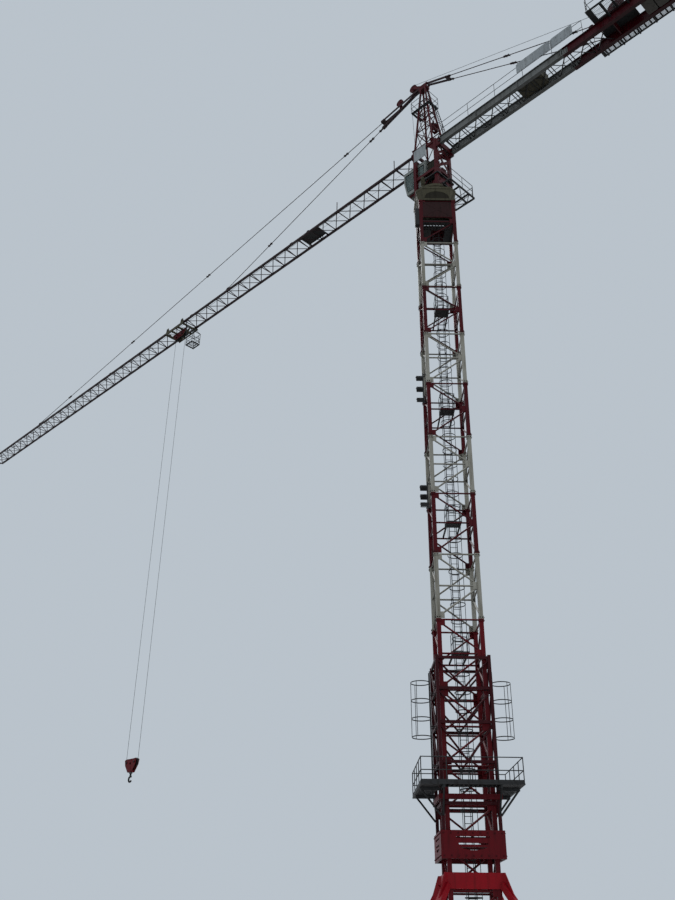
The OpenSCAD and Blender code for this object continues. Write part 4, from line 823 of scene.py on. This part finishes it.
def makeCabFit(cfg):
    seals, fittings, seat, inside = newShape(), newShape(), newShape(), newShape()
    origin = Vector((0, 0, cfg["floor"]))
    half, wide, seal = cfg["half"], cfg["paneHalf"], cfg["seal"]
    for low, high in cfg["frontPanes"]:
        pane = []
        for y, z in ((-wide, low), (wide, low), (wide, high), (-wide, high)):
            x = cfg["front"] + 0.002 - cfg["slope"] * max(0, 1 - z / cfg["sill"])
            pane.append(origin + Vector((x, y, z)))
        addLoop(seals, pane, seal, 6)
    for s in (-1, 1):
        for outline in cfg["sidePanes"]:
            addLoop(seals, [origin + Vector((x, s * (half + 0.002), z)) for x, z in outline], seal, 6)
        x, low, high = cfg["rail"]
        foot, head = (origin + Vector((x, s * half, z)) for z in (low, high))
        addHandle(fittings, foot, head, (0, s * cfg["railOut"], 0), cfg["railSize"])
        addLathe(fittings, origin + Vector((0.975, s * cfg["lampY"], 0.945)), (1, 0, -0.5), cfg["lamp"], 12)
        addBlock(inside, origin + Vector((0.605, s * cfg["deskY"], 0.34)), cfg["desk"], 0.012)
        addLathe(inside, origin + Vector((0.675, s * cfg["deskY"], 0.42)), (0.1, 0, 1), cfg["lever"], 10)
    addBlocks(fittings, origin, cfg["shell"])
    addLathe(fittings, origin + Vector((0.765, 0.10, 1.0)), upward, cfg["ventilator"], 16)
    for z in cfg["hinges"]:
        addPost(fittings, 0.125, -half - 0.008, cfg["floor"] + z - 0.03, cfg["floor"] + z + 0.03, 0.016)
    foot, head, out = cfg["handle"]
    addHandle(fittings, origin + Vector(foot), origin + Vector(head), out, 0.010)
    addTube(seals, [origin + Vector(point) for point in cfg["wiper"]], 0.008, 6)
    addBlocks(seals, origin, cfg["wiperBlade"])
    addBlocks(seat, origin, cfg["seat"])
    addLathe(inside, origin + Vector((0.555, 0, 0.024)), upward, cfg["seatPost"], 16)
    makePiece("cabSeals", seals, "upper_works", "blackRubber")
    makePiece("cabFittings", fittings, "upper_works", "cabPaint")
    makePiece("cabSeat", seat, "upper_works", "seatCloth")
    makePiece("cabDesk", inside, "upper_works", "greySteel")


makeCabFit(cabFit)
print("head and cab pieces made")

# Pins and bolted flanges of the crane head and the tower top
headPins = {"pins": ((0.525, 0), (-0.60, -0.16), (-0.60, -0.02)), "pin": (0.13, 0.045),
            "flangeX": (0.44, -0.31), "flangeZ": 23.762, "flange": (0.15, 0.15, 0.016),
            "boltPitch": 0.056, "bolt": 0.024}


def makeHeadPins(cfg):
    pins, flanges = newShape(), newShape()
    thick, pitch = cfg["flange"][2], cfg["boltPitch"]
    for s in (-1, 1):
        y = s * crane["headHalf"]
        for x, z in cfg["pins"]:
            addPin(pins, (x, y, crane["jibZ"] + z), sideways, *cfg["pin"])
        for x in cfg["flangeX"]:
            addBlock(flanges, (x, y, cfg["flangeZ"] + thick / 2), cfg["flange"], 0.003)
            for u, v in corners:
                place = (x + u * pitch, y + v * pitch, cfg["flangeZ"] + thick)
                addBolt(pins, place, upward, cfg["bolt"])
    makePiece("headPins", pins, "upper_works", "darkSteel")
    makePiece("topFlanges", flanges, "upper_works", "shadedMaroonPaint")


makeHeadPins(headPins)

# Pulley block that hangs between the legs of the tower top
topPulley = {"middle": (-0.09, -0.10, 24.80), "size": (0.15, 0.17, 0.40), "plate": 0.012, "axle": 0.112,
             "wheel": (0.085, 0.04, 0.01, 0.006, 0.012), "pin": 0.028, "stay": 0.03,
             "stayHead": (-0.155, 0.22)}


def makeTopPulley(cfg):
    shape = newShape()
    x, y, z = cfg["middle"]
    length, width, height = cfg["size"]
    plate, axle, (headX, headY) = cfg["plate"], cfg["axle"], cfg["stayHead"]
    for s in (-1, 1):
        addBlock(shape, (x, y + s * width / 2, z), (length, plate, height), 0.003)
        addBlock(shape, (x + s * length / 2, y, z - height * 0.3), (plate, width, height * 0.3), 0.003)
        addPin(shape, (x, y, z + s * axle), sideways, width + 0.05, cfg["pin"])
        addRod(shape, (x, y, z + height * 0.45), (headX, s * headY, z + height * 0.8), cfg["stay"], 8)
    addPulley(shape, (x, y, z + axle), cfg["wheel"], 24)
    makePiece("topPulley", shape, "upper_works", "shadedMaroonPaint")


makeTopPulley(topPulley)

# Cheek plates and pins where the jib's parts join, and gussets at every strut
jibJoints = {"panels": (9, 18, 27, 36), "plate": (0.17, 0.010, 0.056), "upperPlate": (0.15, 0.010, 0.05),
             "gussetSet": 0.033, "gussetReach": 0.05, "gussetFoot": 0.06, "gussetTip": 0.02,
             "gussetThick": 0.008}


def makeJibJoints(cfg):
    plates, pins, gussets = newShape(), newShape(), newShape()
    low, high = crane["jibZ"], crane["jibZ"] + crane["jibHeight"]
    thick, foot, tip = cfg["gussetThick"], cfg["gussetFoot"], cfg["gussetTip"]
    for n in range(crane["jibPanels"] + 1):
        x = crane["jibFoot"] + n * crane["jibPanel"]
        for s in (-1, 1):
            inner, z = s * (crane["chordY"] - cfg["gussetSet"]), low - thick / 2
            end = inner - s * cfg["gussetReach"]
            verts = [(x - foot, inner, z), (x + foot, inner, z), (x + tip, end, z), (x - tip, end, z)]
            verts += [(a, b, c + thick) for a, b, c in verts]
            addPart(gussets, verts, [(0, 1, 2, 3), (7, 6, 5, 4), (0, 4, 5, 1), (1, 5, 6, 2), (2, 6, 7, 3),
                                     (3, 7, 4, 0)])
        if n not in cfg["panels"]:
            continue
        for s in (-1, 1):
            y = s * crane["chordY"]
            for side in (-1, 1):
                addBlock(plates, (x, y + side * 0.037, low), cfg["plate"], 0.003)
                addPin(pins, (x + side * 0.045, y, low), sideways, 0.105, 0.026)
            addBlock(plates, (x, s * 0.034, high), cfg["upperPlate"], 0.003)
            addPin(pins, (x + s * 0.04, 0, high), sideways, 0.10, 0.022)
    makePiece("jibPlates", plates, "upper_works", "jibPaint")
    makePiece("jibPins", pins, "upper_works", "zincSteel")
    makePiece("jibGussets", gussets, "upper_works", "jibPaint")


makeJibJoints(jibJoints)

# Trolley's pulling ropes inside the jib, with their end pulleys and the winding on the drum
pullRopes = {"y": 0.09, "diameter": 0.007, "lift": 0.095, "start": 0.08, "endPanel": 42.7,
             "drum": (5.76, 23.785), "layRadius": 0.099, "drumHalf": 0.10, "turns": 22,
             "wheel": (0.048, 0.024, 0.006, 0.004, 0.007), "wheelDrop": 0.045, "axle": 0.02, "axleHalf": 0.27}


def makePullRopes(cfg):
    ropes, pulleys = newShape(), newShape()
    size, radius, half, (dx, dz) = cfg["diameter"], cfg["layRadius"], cfg["axleHalf"], cfg["drum"]
    top = crane["jibZ"] + cfg["lift"]
    z = top - cfg["wheelDrop"]
    for shift, y in ((cfg["start"], -cfg["y"]), (cfg["endPanel"] * crane["jibPanel"], cfg["y"])):
        x = crane["jibFoot"] + shift
        addRod(ropes, (x, y, top), (dx, y, dz + radius), size, 6)
        addPulley(pulleys, (x, y, z), cfg["wheel"], 20)
        addRod(pulleys, (x, -half, z), (x, half, z), cfg["axle"], 10)
    addWinding(ropes, cfg["drum"], radius, cfg["drumHalf"], cfg["turns"], 16, size)
    makePiece("pullRopes", ropes, "upper_works", "wireRope")
    makePiece("pullPulleys", pulleys, "upper_works", "darkSteel")


makePullRopes(pullRopes)

# Hoist rope on its sheaves and on the winch's drum
hoistLay = {"diameter": 0.011, "gap": 0.0012, "drum": (-6.9, 23.982), "drumRadius": 0.19, "drumHalf": 0.185,
            "head": (0.65, 0, 27.242), "headRadius": 0.1395,
            "guides": (((0.76, 0, 24.032), 0.0895, 180, 270, 10), ((30.949, 0, 23.662), 0.0995, 90, -90, 14))}


def makeHoistLay(cfg):
    shape = newShape()
    size, half = cfg["diameter"], cfg["drumHalf"]
    lift = math.degrees(math.atan2(cfg["head"][2] - cfg["drum"][1], cfg["head"][0] - cfg["drum"][0]))
    for sheave in ((cfg["head"], cfg["headRadius"], 90 + lift, 0, 14), *cfg["guides"]):
        addTube(shape, arcPoints(*sheave), size, 8)
    turns = int(2 * half / (size + cfg["gap"]))
    addWinding(shape, cfg["drum"], cfg["drumRadius"] + size / 2, half, turns, 24, size)
    makePiece("hoistLay", shape, "upper_works", "wireRope")


makeHoistLay(hoistLay)

# Pins at the couplings of the ties
tiePins = {
    "pin": (0.10, 0.026), "step": 0.065, "head": (0.29, 0, 26.942),
    "footPin": (0.11, 0.032), "footDrop": 0.012,
    "ties": (((26.072, 0, 24.117), (1.81, 3.71, 11.99, 17.6, 23.03)),
             ((10.716, 0, 24.117), (1.83, 1.96, 2.47, 8.15))),
    "counterHead": (0.01, 0.048, 26.932), "counterFoot": (-6.15, 0.3, 23.732),
    "counterPins": (1.06, 3.76, 6.36), "counterFootPin": (0.09, 0.032),
}


# Two pins at each coupling, whose distances are taken from the tie's start
def addCouplings(shape, cfg, start, foot, distances):
    along = (foot - start).normalized()
    for distance in distances:
        for step in (-cfg["step"], cfg["step"]):
            addPin(shape, start + along * (distance + step), sideways, *cfg["pin"])


def makeTiePins(cfg):
    shape = newShape()
    for foot, distances in cfg["ties"]:
        addCouplings(shape, cfg, Vector(cfg["head"]), Vector(foot), distances)
        addPin(shape, Vector(foot) - Vector((0, 0, cfg["footDrop"])), sideways, *cfg["footPin"])
    for s in (-1, 1):
        start, foot = (Vector((x, s * y, z)) for x, y, z in (cfg["counterHead"], cfg["counterFoot"]))
        addCouplings(shape, cfg, start, foot, cfg["counterPins"])
        addPin(shape, foot, sideways, *cfg["counterFootPin"])
    makePiece("tiePins", shape, "upper_works", "zincSteel")


makeTiePins(tiePins)
print("jib and tie pieces made")

# Counter-jib: bolted splices of the girders, lid and doors of the cabinet
counterFit = {"x": -5.2, "web": (0.30, 0.010, 0.20), "webOut": 0.012, "flange": (0.30, 0.10, 0.010),
              "flangeOut": 0.004, "columns": (-0.11, 0.0733, 4), "rows": (-0.06, 0.0, 0.06), "boltOut": 0.017,
              "bolt": 0.02, "cabinetX": -4.35, "cabinetLength": 0.85, "cabinetTop": 23.712,
              "cabinetHalf": 0.242,
              "doors": (0.25, 0.75), "louvres": (-0.13, 0.052, 6), "louvre": (0.024, 0.28, 0.008)}


def makeCounterFit(cfg):
    plates, bolts, cabinet = newShape(), newShape(), newShape()
    top, bottom, x = crane["girderTop"], crane["girderBottom"], cfg["x"]
    level = (top + bottom) / 2
    first, pitch, count = cfg["columns"]
    for u, v in corners:
        y = u * crane["girderY"]
        addBlock(plates, (x, y + v * cfg["webOut"], level), cfg["web"], 0.002)
        for i in range(count):
            for z in cfg["rows"]:
                place = (x + first + i * pitch, y + v * cfg["boltOut"], level + z)
                addBolt(bolts, place, (0, v, 0), cfg["bolt"])
        edge = top if v > 0 else bottom
        addBlock(plates, (x, y, edge + v * cfg["flangeOut"]), cfg["flange"], 0.002)
    x0, length, half = cfg["cabinetX"], cfg["cabinetLength"], cfg["cabinetHalf"]
    addBlock(cabinet, (x0 + length / 2, 0, cfg["cabinetTop"] + 0.012), (length + 0.02, 2 * half, 0.03), 0.008)
    first, pitch, count = cfg["louvres"]
    for share in cfg["doors"]:
        x = x0 + length * share
        addBlock(cabinet, (x, 0, bottom + 0.084), (length * 0.46, 2 * half - 0.05, 0.014), 0.004)
        for k in range(count):
            addBlock(cabinet, (x + first + k * pitch, 0, bottom + 0.074), cfg["louvre"], 0.002)
    makePiece("girderSplices", plates, "upper_works", "girderPaint")
    makePiece("girderBolts", bolts, "upper_works", "darkSteel")
    makePiece("cabinetDoors", cabinet, "upper_works", "olivePaint")


makeCounterFit(counterFit)


# Winch fittings from the drum's middle and the deck: ribbed motor, lid, brake, hub caps and foot bolts
winchFit = {
    "x": -6.9, "deck": 0.016, "motor": (0.41, -0.24, 0.40),
    "motorProfile": ((0, 0.05), (0.01, 0.09), (0.20, 0.09), (0.21, 0.10), (0.27, 0.10), (0.28, 0.06)),
    "ribs": 18, "ribRadius": 0.095, "ribY": -0.135, "rib": (0.016, 0.17, 0.004),
    "boxes": (((0.41, -0.085, 0.31), (0.34, 0.31, 0.02), 0.006, 0),
              ((0.38, 0.175, 0.24), (0.24, 0.13, 0.04), 0.012, 0)),
    "hubs": ((-0.285, -1), (0.245, 1)), "hubZ": 0.314, "hubBoltRadius": 0.064, "hubBolts": 6,
    "hubProfile": ((-0.03, 0.075), (0.008, 0.075), (0.014, 0.055), (0.022, 0.055), (0.026, 0.03)),
    "foot": (0.13, 0.2376, 0.001), "footBolt": 0.026,
}


def makeWinchFit(cfg):
    shape = newShape()
    origin = Vector((cfg["x"], 0, crane["girderTop"] + cfg["deck"]))
    motor, r = Vector(cfg["motor"]), cfg["ribRadius"]
    addLathe(shape, origin + motor, sideways, cfg["motorProfile"], 24)
    for a in circleAngles(cfg["ribs"]):
        rib = Vector((motor.x + r * math.cos(a), cfg["ribY"], motor.z + r * math.sin(a)))
        addBlock(shape, origin + rib, cfg["rib"], 0, Matrix.Rotation(-a, 4, "Y"))
    addBlocks(shape, origin, cfg["boxes"])
    for y, out in cfg["hubs"]:
        hub = origin + Vector((0, y, cfg["hubZ"]))
        addLathe(shape, hub, (0, out, 0), cfg["hubProfile"], 16)
        hub.y += out * 0.006
        addBoltRing(shape, hub, cfg["hubBoltRadius"], cfg["hubBolts"], out, 0.012)
    x, y, z = cfg["foot"]
    for u, v in corners:
        addBolt(shape, origin + Vector((u * x, v * y, z)), upward, cfg["footBolt"])
    makePiece("winchFittings", shape, "upper_works", "darkSteel")


makeWinchFit(winchFit)


# Ballast slabs on their bearers, with lifting loops
ballast = {"x": (-8.365, -8.045, -7.725), "thick": 0.29, "half": 0.237, "bottom": 23.332, "top": 24.272,
           "cut": 0.022, "bearer": (0.09, 0.66, 0.07), "loopY": 0.13, "loopRadius": 0.035, "loopRise": 0.03,
           "loopSink": 0.01, "loop": 0.014}


def makeBallast(cfg):
    slabs, loops = newShape(), newShape()
    top, bottom, r = cfg["top"], cfg["bottom"], cfg["loopRadius"]
    for x in cfg["x"]:
        addBlock(slabs, (x, 0, (top + bottom) / 2), (cfg["thick"], 2 * cfg["half"], top - bottom), cfg["cut"])
        addBlock(slabs, (x, 0, crane["girderTop"] + cfg["bearer"][2] / 2), cfg["bearer"], 0.01)
        for y in (-cfg["loopY"], cfg["loopY"]):
            arch = [(x, y + r * math.cos(a), top + cfg["loopRise"] + r * math.sin(a))
                    for a in spread(math.pi, 0, 7)]
            feet = [(x, y + side * r, top - cfg["loopSink"]) for side in (-1, 1)]
            addTube(loops, [feet[0], *arch, feet[1]], cfg["loop"], 8)
    slab = makePiece("ballastSlabs", slabs, "upper_works", "shadedSlabConcrete")
    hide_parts("counterweights")
    makePiece("liftingLoops", loops, "upper_works", "zincSteel")


makeBallast(ballast)

# Bearing bars in the openings of the winch deck and of the side walkway
gratings = {"deck": (-7.30, -6.32, 0.39, 0.81, 23.660), "deckPitch": 0.036, "rod": 0.006,
            "walk": (-8.60, -6.05, -0.595, -0.445, 23.440), "walkPitch": 0.024, "bar": 0.004, "height": 0.012}


def makeGratings(cfg):
    shape = newShape()
    bar, height = cfg["bar"], cfg["height"]
    x0, x1, y0, y1, z = cfg["deck"]
    for i in range(1, int((x1 - x0) / cfg["deckPitch"])):
        addBlock(shape, (x0 + i * cfg["deckPitch"], (y0 + y1) / 2, z), (bar, y1 - y0, height))
    for y in spread(y0, y1, 4)[1:-1]:
        addRod(shape, (x0, y, z), (x1, y, z), cfg["rod"], 6)
    x0, x1, y0, y1, z = cfg["walk"]
    for i in range(1, int((y1 - y0) / cfg["walkPitch"])):
        addBlock(shape, ((x0 + x1) / 2, y0 + i * cfg["walkPitch"], z), (x1 - x0, bar, height))
    makePiece("counterGratings", shape, "upper_works", "zincSteel")


makeGratings(gratings)

# Tubes and bolts behind the boards: each board has its first x and its length
boardFrames = {"tube": 0.016, "back": 0.345, "face": 0.364, "rows": (24.032, 24.212), "bolts": 5,
               "boards": ((-4.84, 1.18), (-5.6, 0.74)), "headX": (0.0, 0.38), "headZ": (-0.34, 0.06),
               "headFace": 0.391}


def makeBoardFrames(cfg):
    shape = newShape()
    for x, length in cfg["boards"]:
        for z in cfg["rows"]:
            addRod(shape, (x + 0.02, cfg["back"], z), (x + length - 0.02, cfg["back"], z), cfg["tube"], 8)
            for place in spread(x + 0.06, x + length - 0.06, cfg["bolts"]):
                addBolt(shape, (place, cfg["face"], z), sideways, 0.012)
    for x in cfg["headX"]:
        for z in cfg["headZ"]:
            addBolt(shape, (x, cfg["headFace"], crane["jibZ"] + z), sideways, 0.014)
    makePiece("boardFrames", shape, "upper_works", "greySteel")


makeBoardFrames(boardFrames)
print("counter-jib pieces made")

# Rope round the trolley's sheaves and the hook block's
reeving = {"fall": 0.34, "rope": 0.011, "top": (23.309, 0.1395), "foot": (6.10, 0.1195),
           "arcs": (("top", 1, 90, 0), ("foot", 1, 0, -90), ("foot", -1, -90, -180), ("top", -1, 180, 90))}


def makeReeving(cfg):
    shape = newShape()
    path = []
    for level, side, first, last in cfg["arcs"]:
        z, radius = cfg[level]
        path += arcPoints((side * (cfg["fall"] - radius), 0, z), radius, first, last, 8)
    addTube(shape, path + [path[0]], cfg["rope"], 8)
    rope = makePiece("reevedRope", shape, None, "wireRope", trolleyTurn)
    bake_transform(rope)
    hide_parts("rope_falls")


makeReeving(reeving)

# Trolley: wheel hubs, buffers and the nuts of its sheaves
trolleyFit = {
    "wheel": (0.51, 0.370, 23.6903), "end": (0.62, 0.362, 23.51), "sheave": (0.2002, 0.095, 23.309),
    "nut": 0.05,
    "hub": ((-0.004, 0.034), (0.010, 0.034), (0.016, 0.022), (0.022, 0.022), (0.026, 0.01)),
    "boltRadius": 0.045, "bolts": 6, "bolt": 0.010,
    "buffer": ((-0.01, 0.02), (0.004, 0.026), (0.028, 0.03), (0.036, 0.018)),
}


def makeTrolleyFit(cfg):
    shape, rubber = newShape(), newShape()
    for u, v in corners:
        wheel, end, sheave = ((u * x, v * y, z) for x, y, z in (cfg["wheel"], cfg["end"], cfg["sheave"]))
        addLathe(shape, wheel, (0, v, 0), cfg["hub"], 16)
        addBoltRing(shape, wheel, cfg["boltRadius"], cfg["bolts"], v, cfg["bolt"])
        addLathe(rubber, end, (u, 0, 0), cfg["buffer"], 14)
        addBolt(shape, sheave, (0, v, 0), cfg["nut"])
    makePiece("trolleyHubs", shape, "trolley", "darkSteel")
    makePiece("trolleyBuffers", rubber, "trolley", "blackRubber")


makeTrolleyFit(trolleyFit)

# Inspection basket: tube frame with a thin grating floor, hangers, gate and latch
basket = {"x": -0.94, "length": 0.44, "width": 0.40, "floor": 22.392, "height": 0.54,
          "rails": (0.15, 0.28, 0.53), "tube": 0.020, "edge": 0.040, "bar": 0.005,
          "hanger": 0.028, "hungX": -0.59, "hungZ": (23.489, 23.524),
          "gate": ((-0.10, 0.17), (-0.10, 0.50), (0.10, 0.50), (0.10, 0.17)), "gateOut": 0.014,
          "gateTube": 0.014, "hinges": (0.24, 0.44), "latch": (0.03, 0.014, 0.02)}


def makeBasket(cfg):
    shape, gate = newShape(), newShape()
    x, z, edge, tube = cfg["x"], cfg["floor"], cfg["edge"], cfg["tube"]
    length, width, top = cfg["length"], cfg["width"], z + cfg["rails"][-1]
    hl, hw = (length - tube) / 2, (width - tube) / 2
    for s in (-1, 1):
        addBlock(shape, (x, s * (hw - 0.01), z + edge / 2), (length, edge, edge), 0.004)
        addBlock(shape, (x + s * (hl - 0.01), 0, z + edge / 2), (edge, width, edge), 0.004)
        for level in cfg["rails"]:
            addRod(shape, (x - hl, s * hw, z + level), (x + hl, s * hw, z + level), tube, 10)
            addRod(shape, (x + s * hl, -hw, z + level), (x + s * hl, hw, z + level), tube, 10)
        for side, hungZ in zip((1, -1), cfg["hungZ"]):
            addPost(shape, x + side * hl, s * hw, z, z + cfg["height"], tube, 10)
            addRod(shape, (x + side * hl, s * hw, top), (cfg["hungX"], s * hw, hungZ), cfg["hanger"], 10)
    for y in spread(-hw, hw, 7)[1:-1]:
        addBlock(shape, (x, y, z + 0.03), (length - edge, cfg["bar"], 0.014))
    for place in spread(x - hl, x + hl, 5)[1:-1]:
        addBlock(shape, (place, 0, z + 0.034), (cfg["bar"], width - edge, 0.010))
    y = -hw - cfg["gateOut"]
    addLoop(gate, [(x + dx, y, z + dz) for dx, dz in cfg["gate"]], cfg["gateTube"])
    for level in cfg["hinges"]:
        addPost(gate, x - 0.11, y + 0.002, z + level - 0.02, z + level + 0.02, tube)
    addBlock(gate, (x + 0.112, y, z + 0.35), cfg["latch"], 0.003)
    cage = makePiece("basketFrame", shape, "trolley", "greySteel")
    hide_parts("inspection_basket")
    makePiece("basketGate", gate, "trolley", "zincSteel")


makeBasket(basket)

# Cover plates over the cheeks that hold the trolley's rope sheaves
cheekCovers = {"y": 0.0765, "thick": 0.004,
               "outline": ((-0.50, -0.05), (0.50, -0.05), (0.27, -0.345), (-0.27, -0.345)),
               "boltRows": ((0.40, -0.08), (0.24, -0.32)), "bolt": 0.018}


def makeCheekCovers(cfg):
    shape, bolts = newShape(), newShape()
    z, thick = crane["trolleyZ"], cfg["thick"]
    outline = [(x, z + dz) for x, dz in cfg["outline"]]
    for s in (-1, 1):
        inner, outer = s * cfg["y"], s * (cfg["y"] + thick)
        # a plate grows towards -Y
        addPlate(shape, outline, thick, Matrix.Translation((0, outer if s > 0 else inner, 0)))
        for half, dz in cfg["boltRows"]:
            for x in (-half, 0, half):
                addBolt(bolts, (x, outer, z + dz), (0, s, 0), cfg["bolt"])
    makePiece("cheekCovers", shape, "trolley", "shadedMaroonPaint")
    makePiece("cheekBolts", bolts, "trolley", "darkSteel")


makeCheekCovers(cheekCovers)

# Hook block: axle caps and cheek bolts, each with its x, z and size
blockFit = {"sheave": (0.2202, 0.075, 6.10), "cheekY": 0.067,
            "cap": ((-0.004, 0.036), (0.006, 0.036), (0.010, 0.026), (0.016, 0.022)),
            "bolts": ((0.10, 5.815, 0.022), (0.04, 6.18, 0.020), (0.27, 6.18, 0.020))}


def makeBlockFit(cfg):
    shape = newShape()
    x, y, z = cfg["sheave"]
    for u, v in corners:
        addLathe(shape, (u * x, v * y, z), (0, v, 0), cfg["cap"], 16)
        for boltX, boltZ, size in cfg["bolts"]:
            addBolt(shape, (u * boltX, v * cfg["cheekY"], boltZ), (0, v, 0), size)
    makePiece("blockCaps", shape, "hook_block", "darkSteel")


makeBlockFit(blockFit)

# Hook: safety latch on its pin, and the lock of the nut
hookLatch = {"pivot": (-0.02, 0, 5.675), "tip": (0.088, 0, 5.62), "bow": 0.008, "tube": 0.012,
             "pin": (0.075, 0.016), "nutZ": 5.751,
             "nut": ((0, 0.046), (0.004, 0.054), (0.028, 0.054), (0.032, 0.046))}


def makeHookLatch(cfg):
    shape = newShape()
    pivot, tip = Vector(cfg["pivot"]), Vector(cfg["tip"])
    addTube(shape, [pivot, (pivot + tip) / 2 + Vector((0, 0, cfg["bow"])), tip], cfg["tube"], 8)
    addPin(shape, pivot, sideways, *cfg["pin"])
    addLathe(shape, (0, 0, cfg["nutZ"]), upward, cfg["nut"], 24)
    makePiece("hookLatch", shape, "hook", "zincSteel")


makeHookLatch(hookLatch)
print("trolley and hook pieces made")

# Stage: a pale floor, a pale surround and soft light
stageSettings = {
    "floorSize": 2000.0,
    "floorLevel": -0.002,
    "floorColor": (0.62, 0.63, 0.64),
    "backColor": (0.49, 0.545, 0.60),
    "lightColor": (0.84, 0.88, 0.92),
    "lightStrength": 0.62,
    "sunStrength": 1.5,
    "sunAngleDeg": 30.0,
    "suns": (("keySun", 200, 50, 1.0), ("fillSun", 60, 35, 0.35)),
}


def makeWorld(cfg):
    world = bpy.data.worlds.new("softWorld")
    scene.world = world
    world.use_nodes = True
    tree = world.node_tree
    light = tree.nodes["Background"]
    light.inputs["Color"].default_value = (*cfg["lightColor"], 1)
    light.inputs["Strength"].default_value = cfg["lightStrength"]
    back = addNode(tree, "ShaderNodeBackground", (0, -200))
    back.inputs["Color"].default_value = (*cfg["backColor"], 1)
    back.inputs["Strength"].default_value = 1.0
    rays = addNode(tree, "ShaderNodeLightPath", (-600, 200))
    shown = rays.outputs["Is Camera Ray"]
    for name in ("Is Glossy Ray", "Is Transmission Ray"):
        most = addNode(tree, "ShaderNodeMath", (-300, 200), operation="MAXIMUM")
        tree.links.new(shown, most.inputs[0])
        tree.links.new(rays.outputs[name], most.inputs[1])
        shown = most.outputs[0]
    mix = addNode(tree, "ShaderNodeMixShader", (300, 0))
    tree.links.new(shown, mix.inputs["Fac"])
    tree.links.new(light.outputs["Background"], mix.inputs[1])
    tree.links.new(back.outputs["Background"], mix.inputs[2])
    tree.links.new(mix.outputs["Shader"], tree.nodes["World Output"].inputs["Surface"])


def makeStage(cfg):
    bpy.ops.mesh.primitive_plane_add(size=cfg["floorSize"], location=(0, 0, cfg["floorLevel"]))
    floor = bpy.context.object
    floor.name = "floor"
    mat, tree, shader = newMaterial("paleFloor")
    shader.inputs["Base Color"].default_value = (*cfg["floorColor"], 1)
    shader.inputs["Roughness"].default_value = 0.9
    floor.data.materials.append(mat)
    for name, heading, lift, share in cfg["suns"]:
        data = bpy.data.lights.new(name, "SUN")
        data.energy = cfg["sunStrength"] * share
        data.angle = math.radians(cfg["sunAngleDeg"])
        lamp = bpy.data.objects.new(name, data)
        lamp.rotation_euler = (math.radians(90 - lift), 0, math.radians(heading))
        scene.collection.objects.link(lamp)


makeWorld(stageSettings)
makeStage(stageSettings)
scene.view_settings.view_transform = "Standard"
print("stage made")
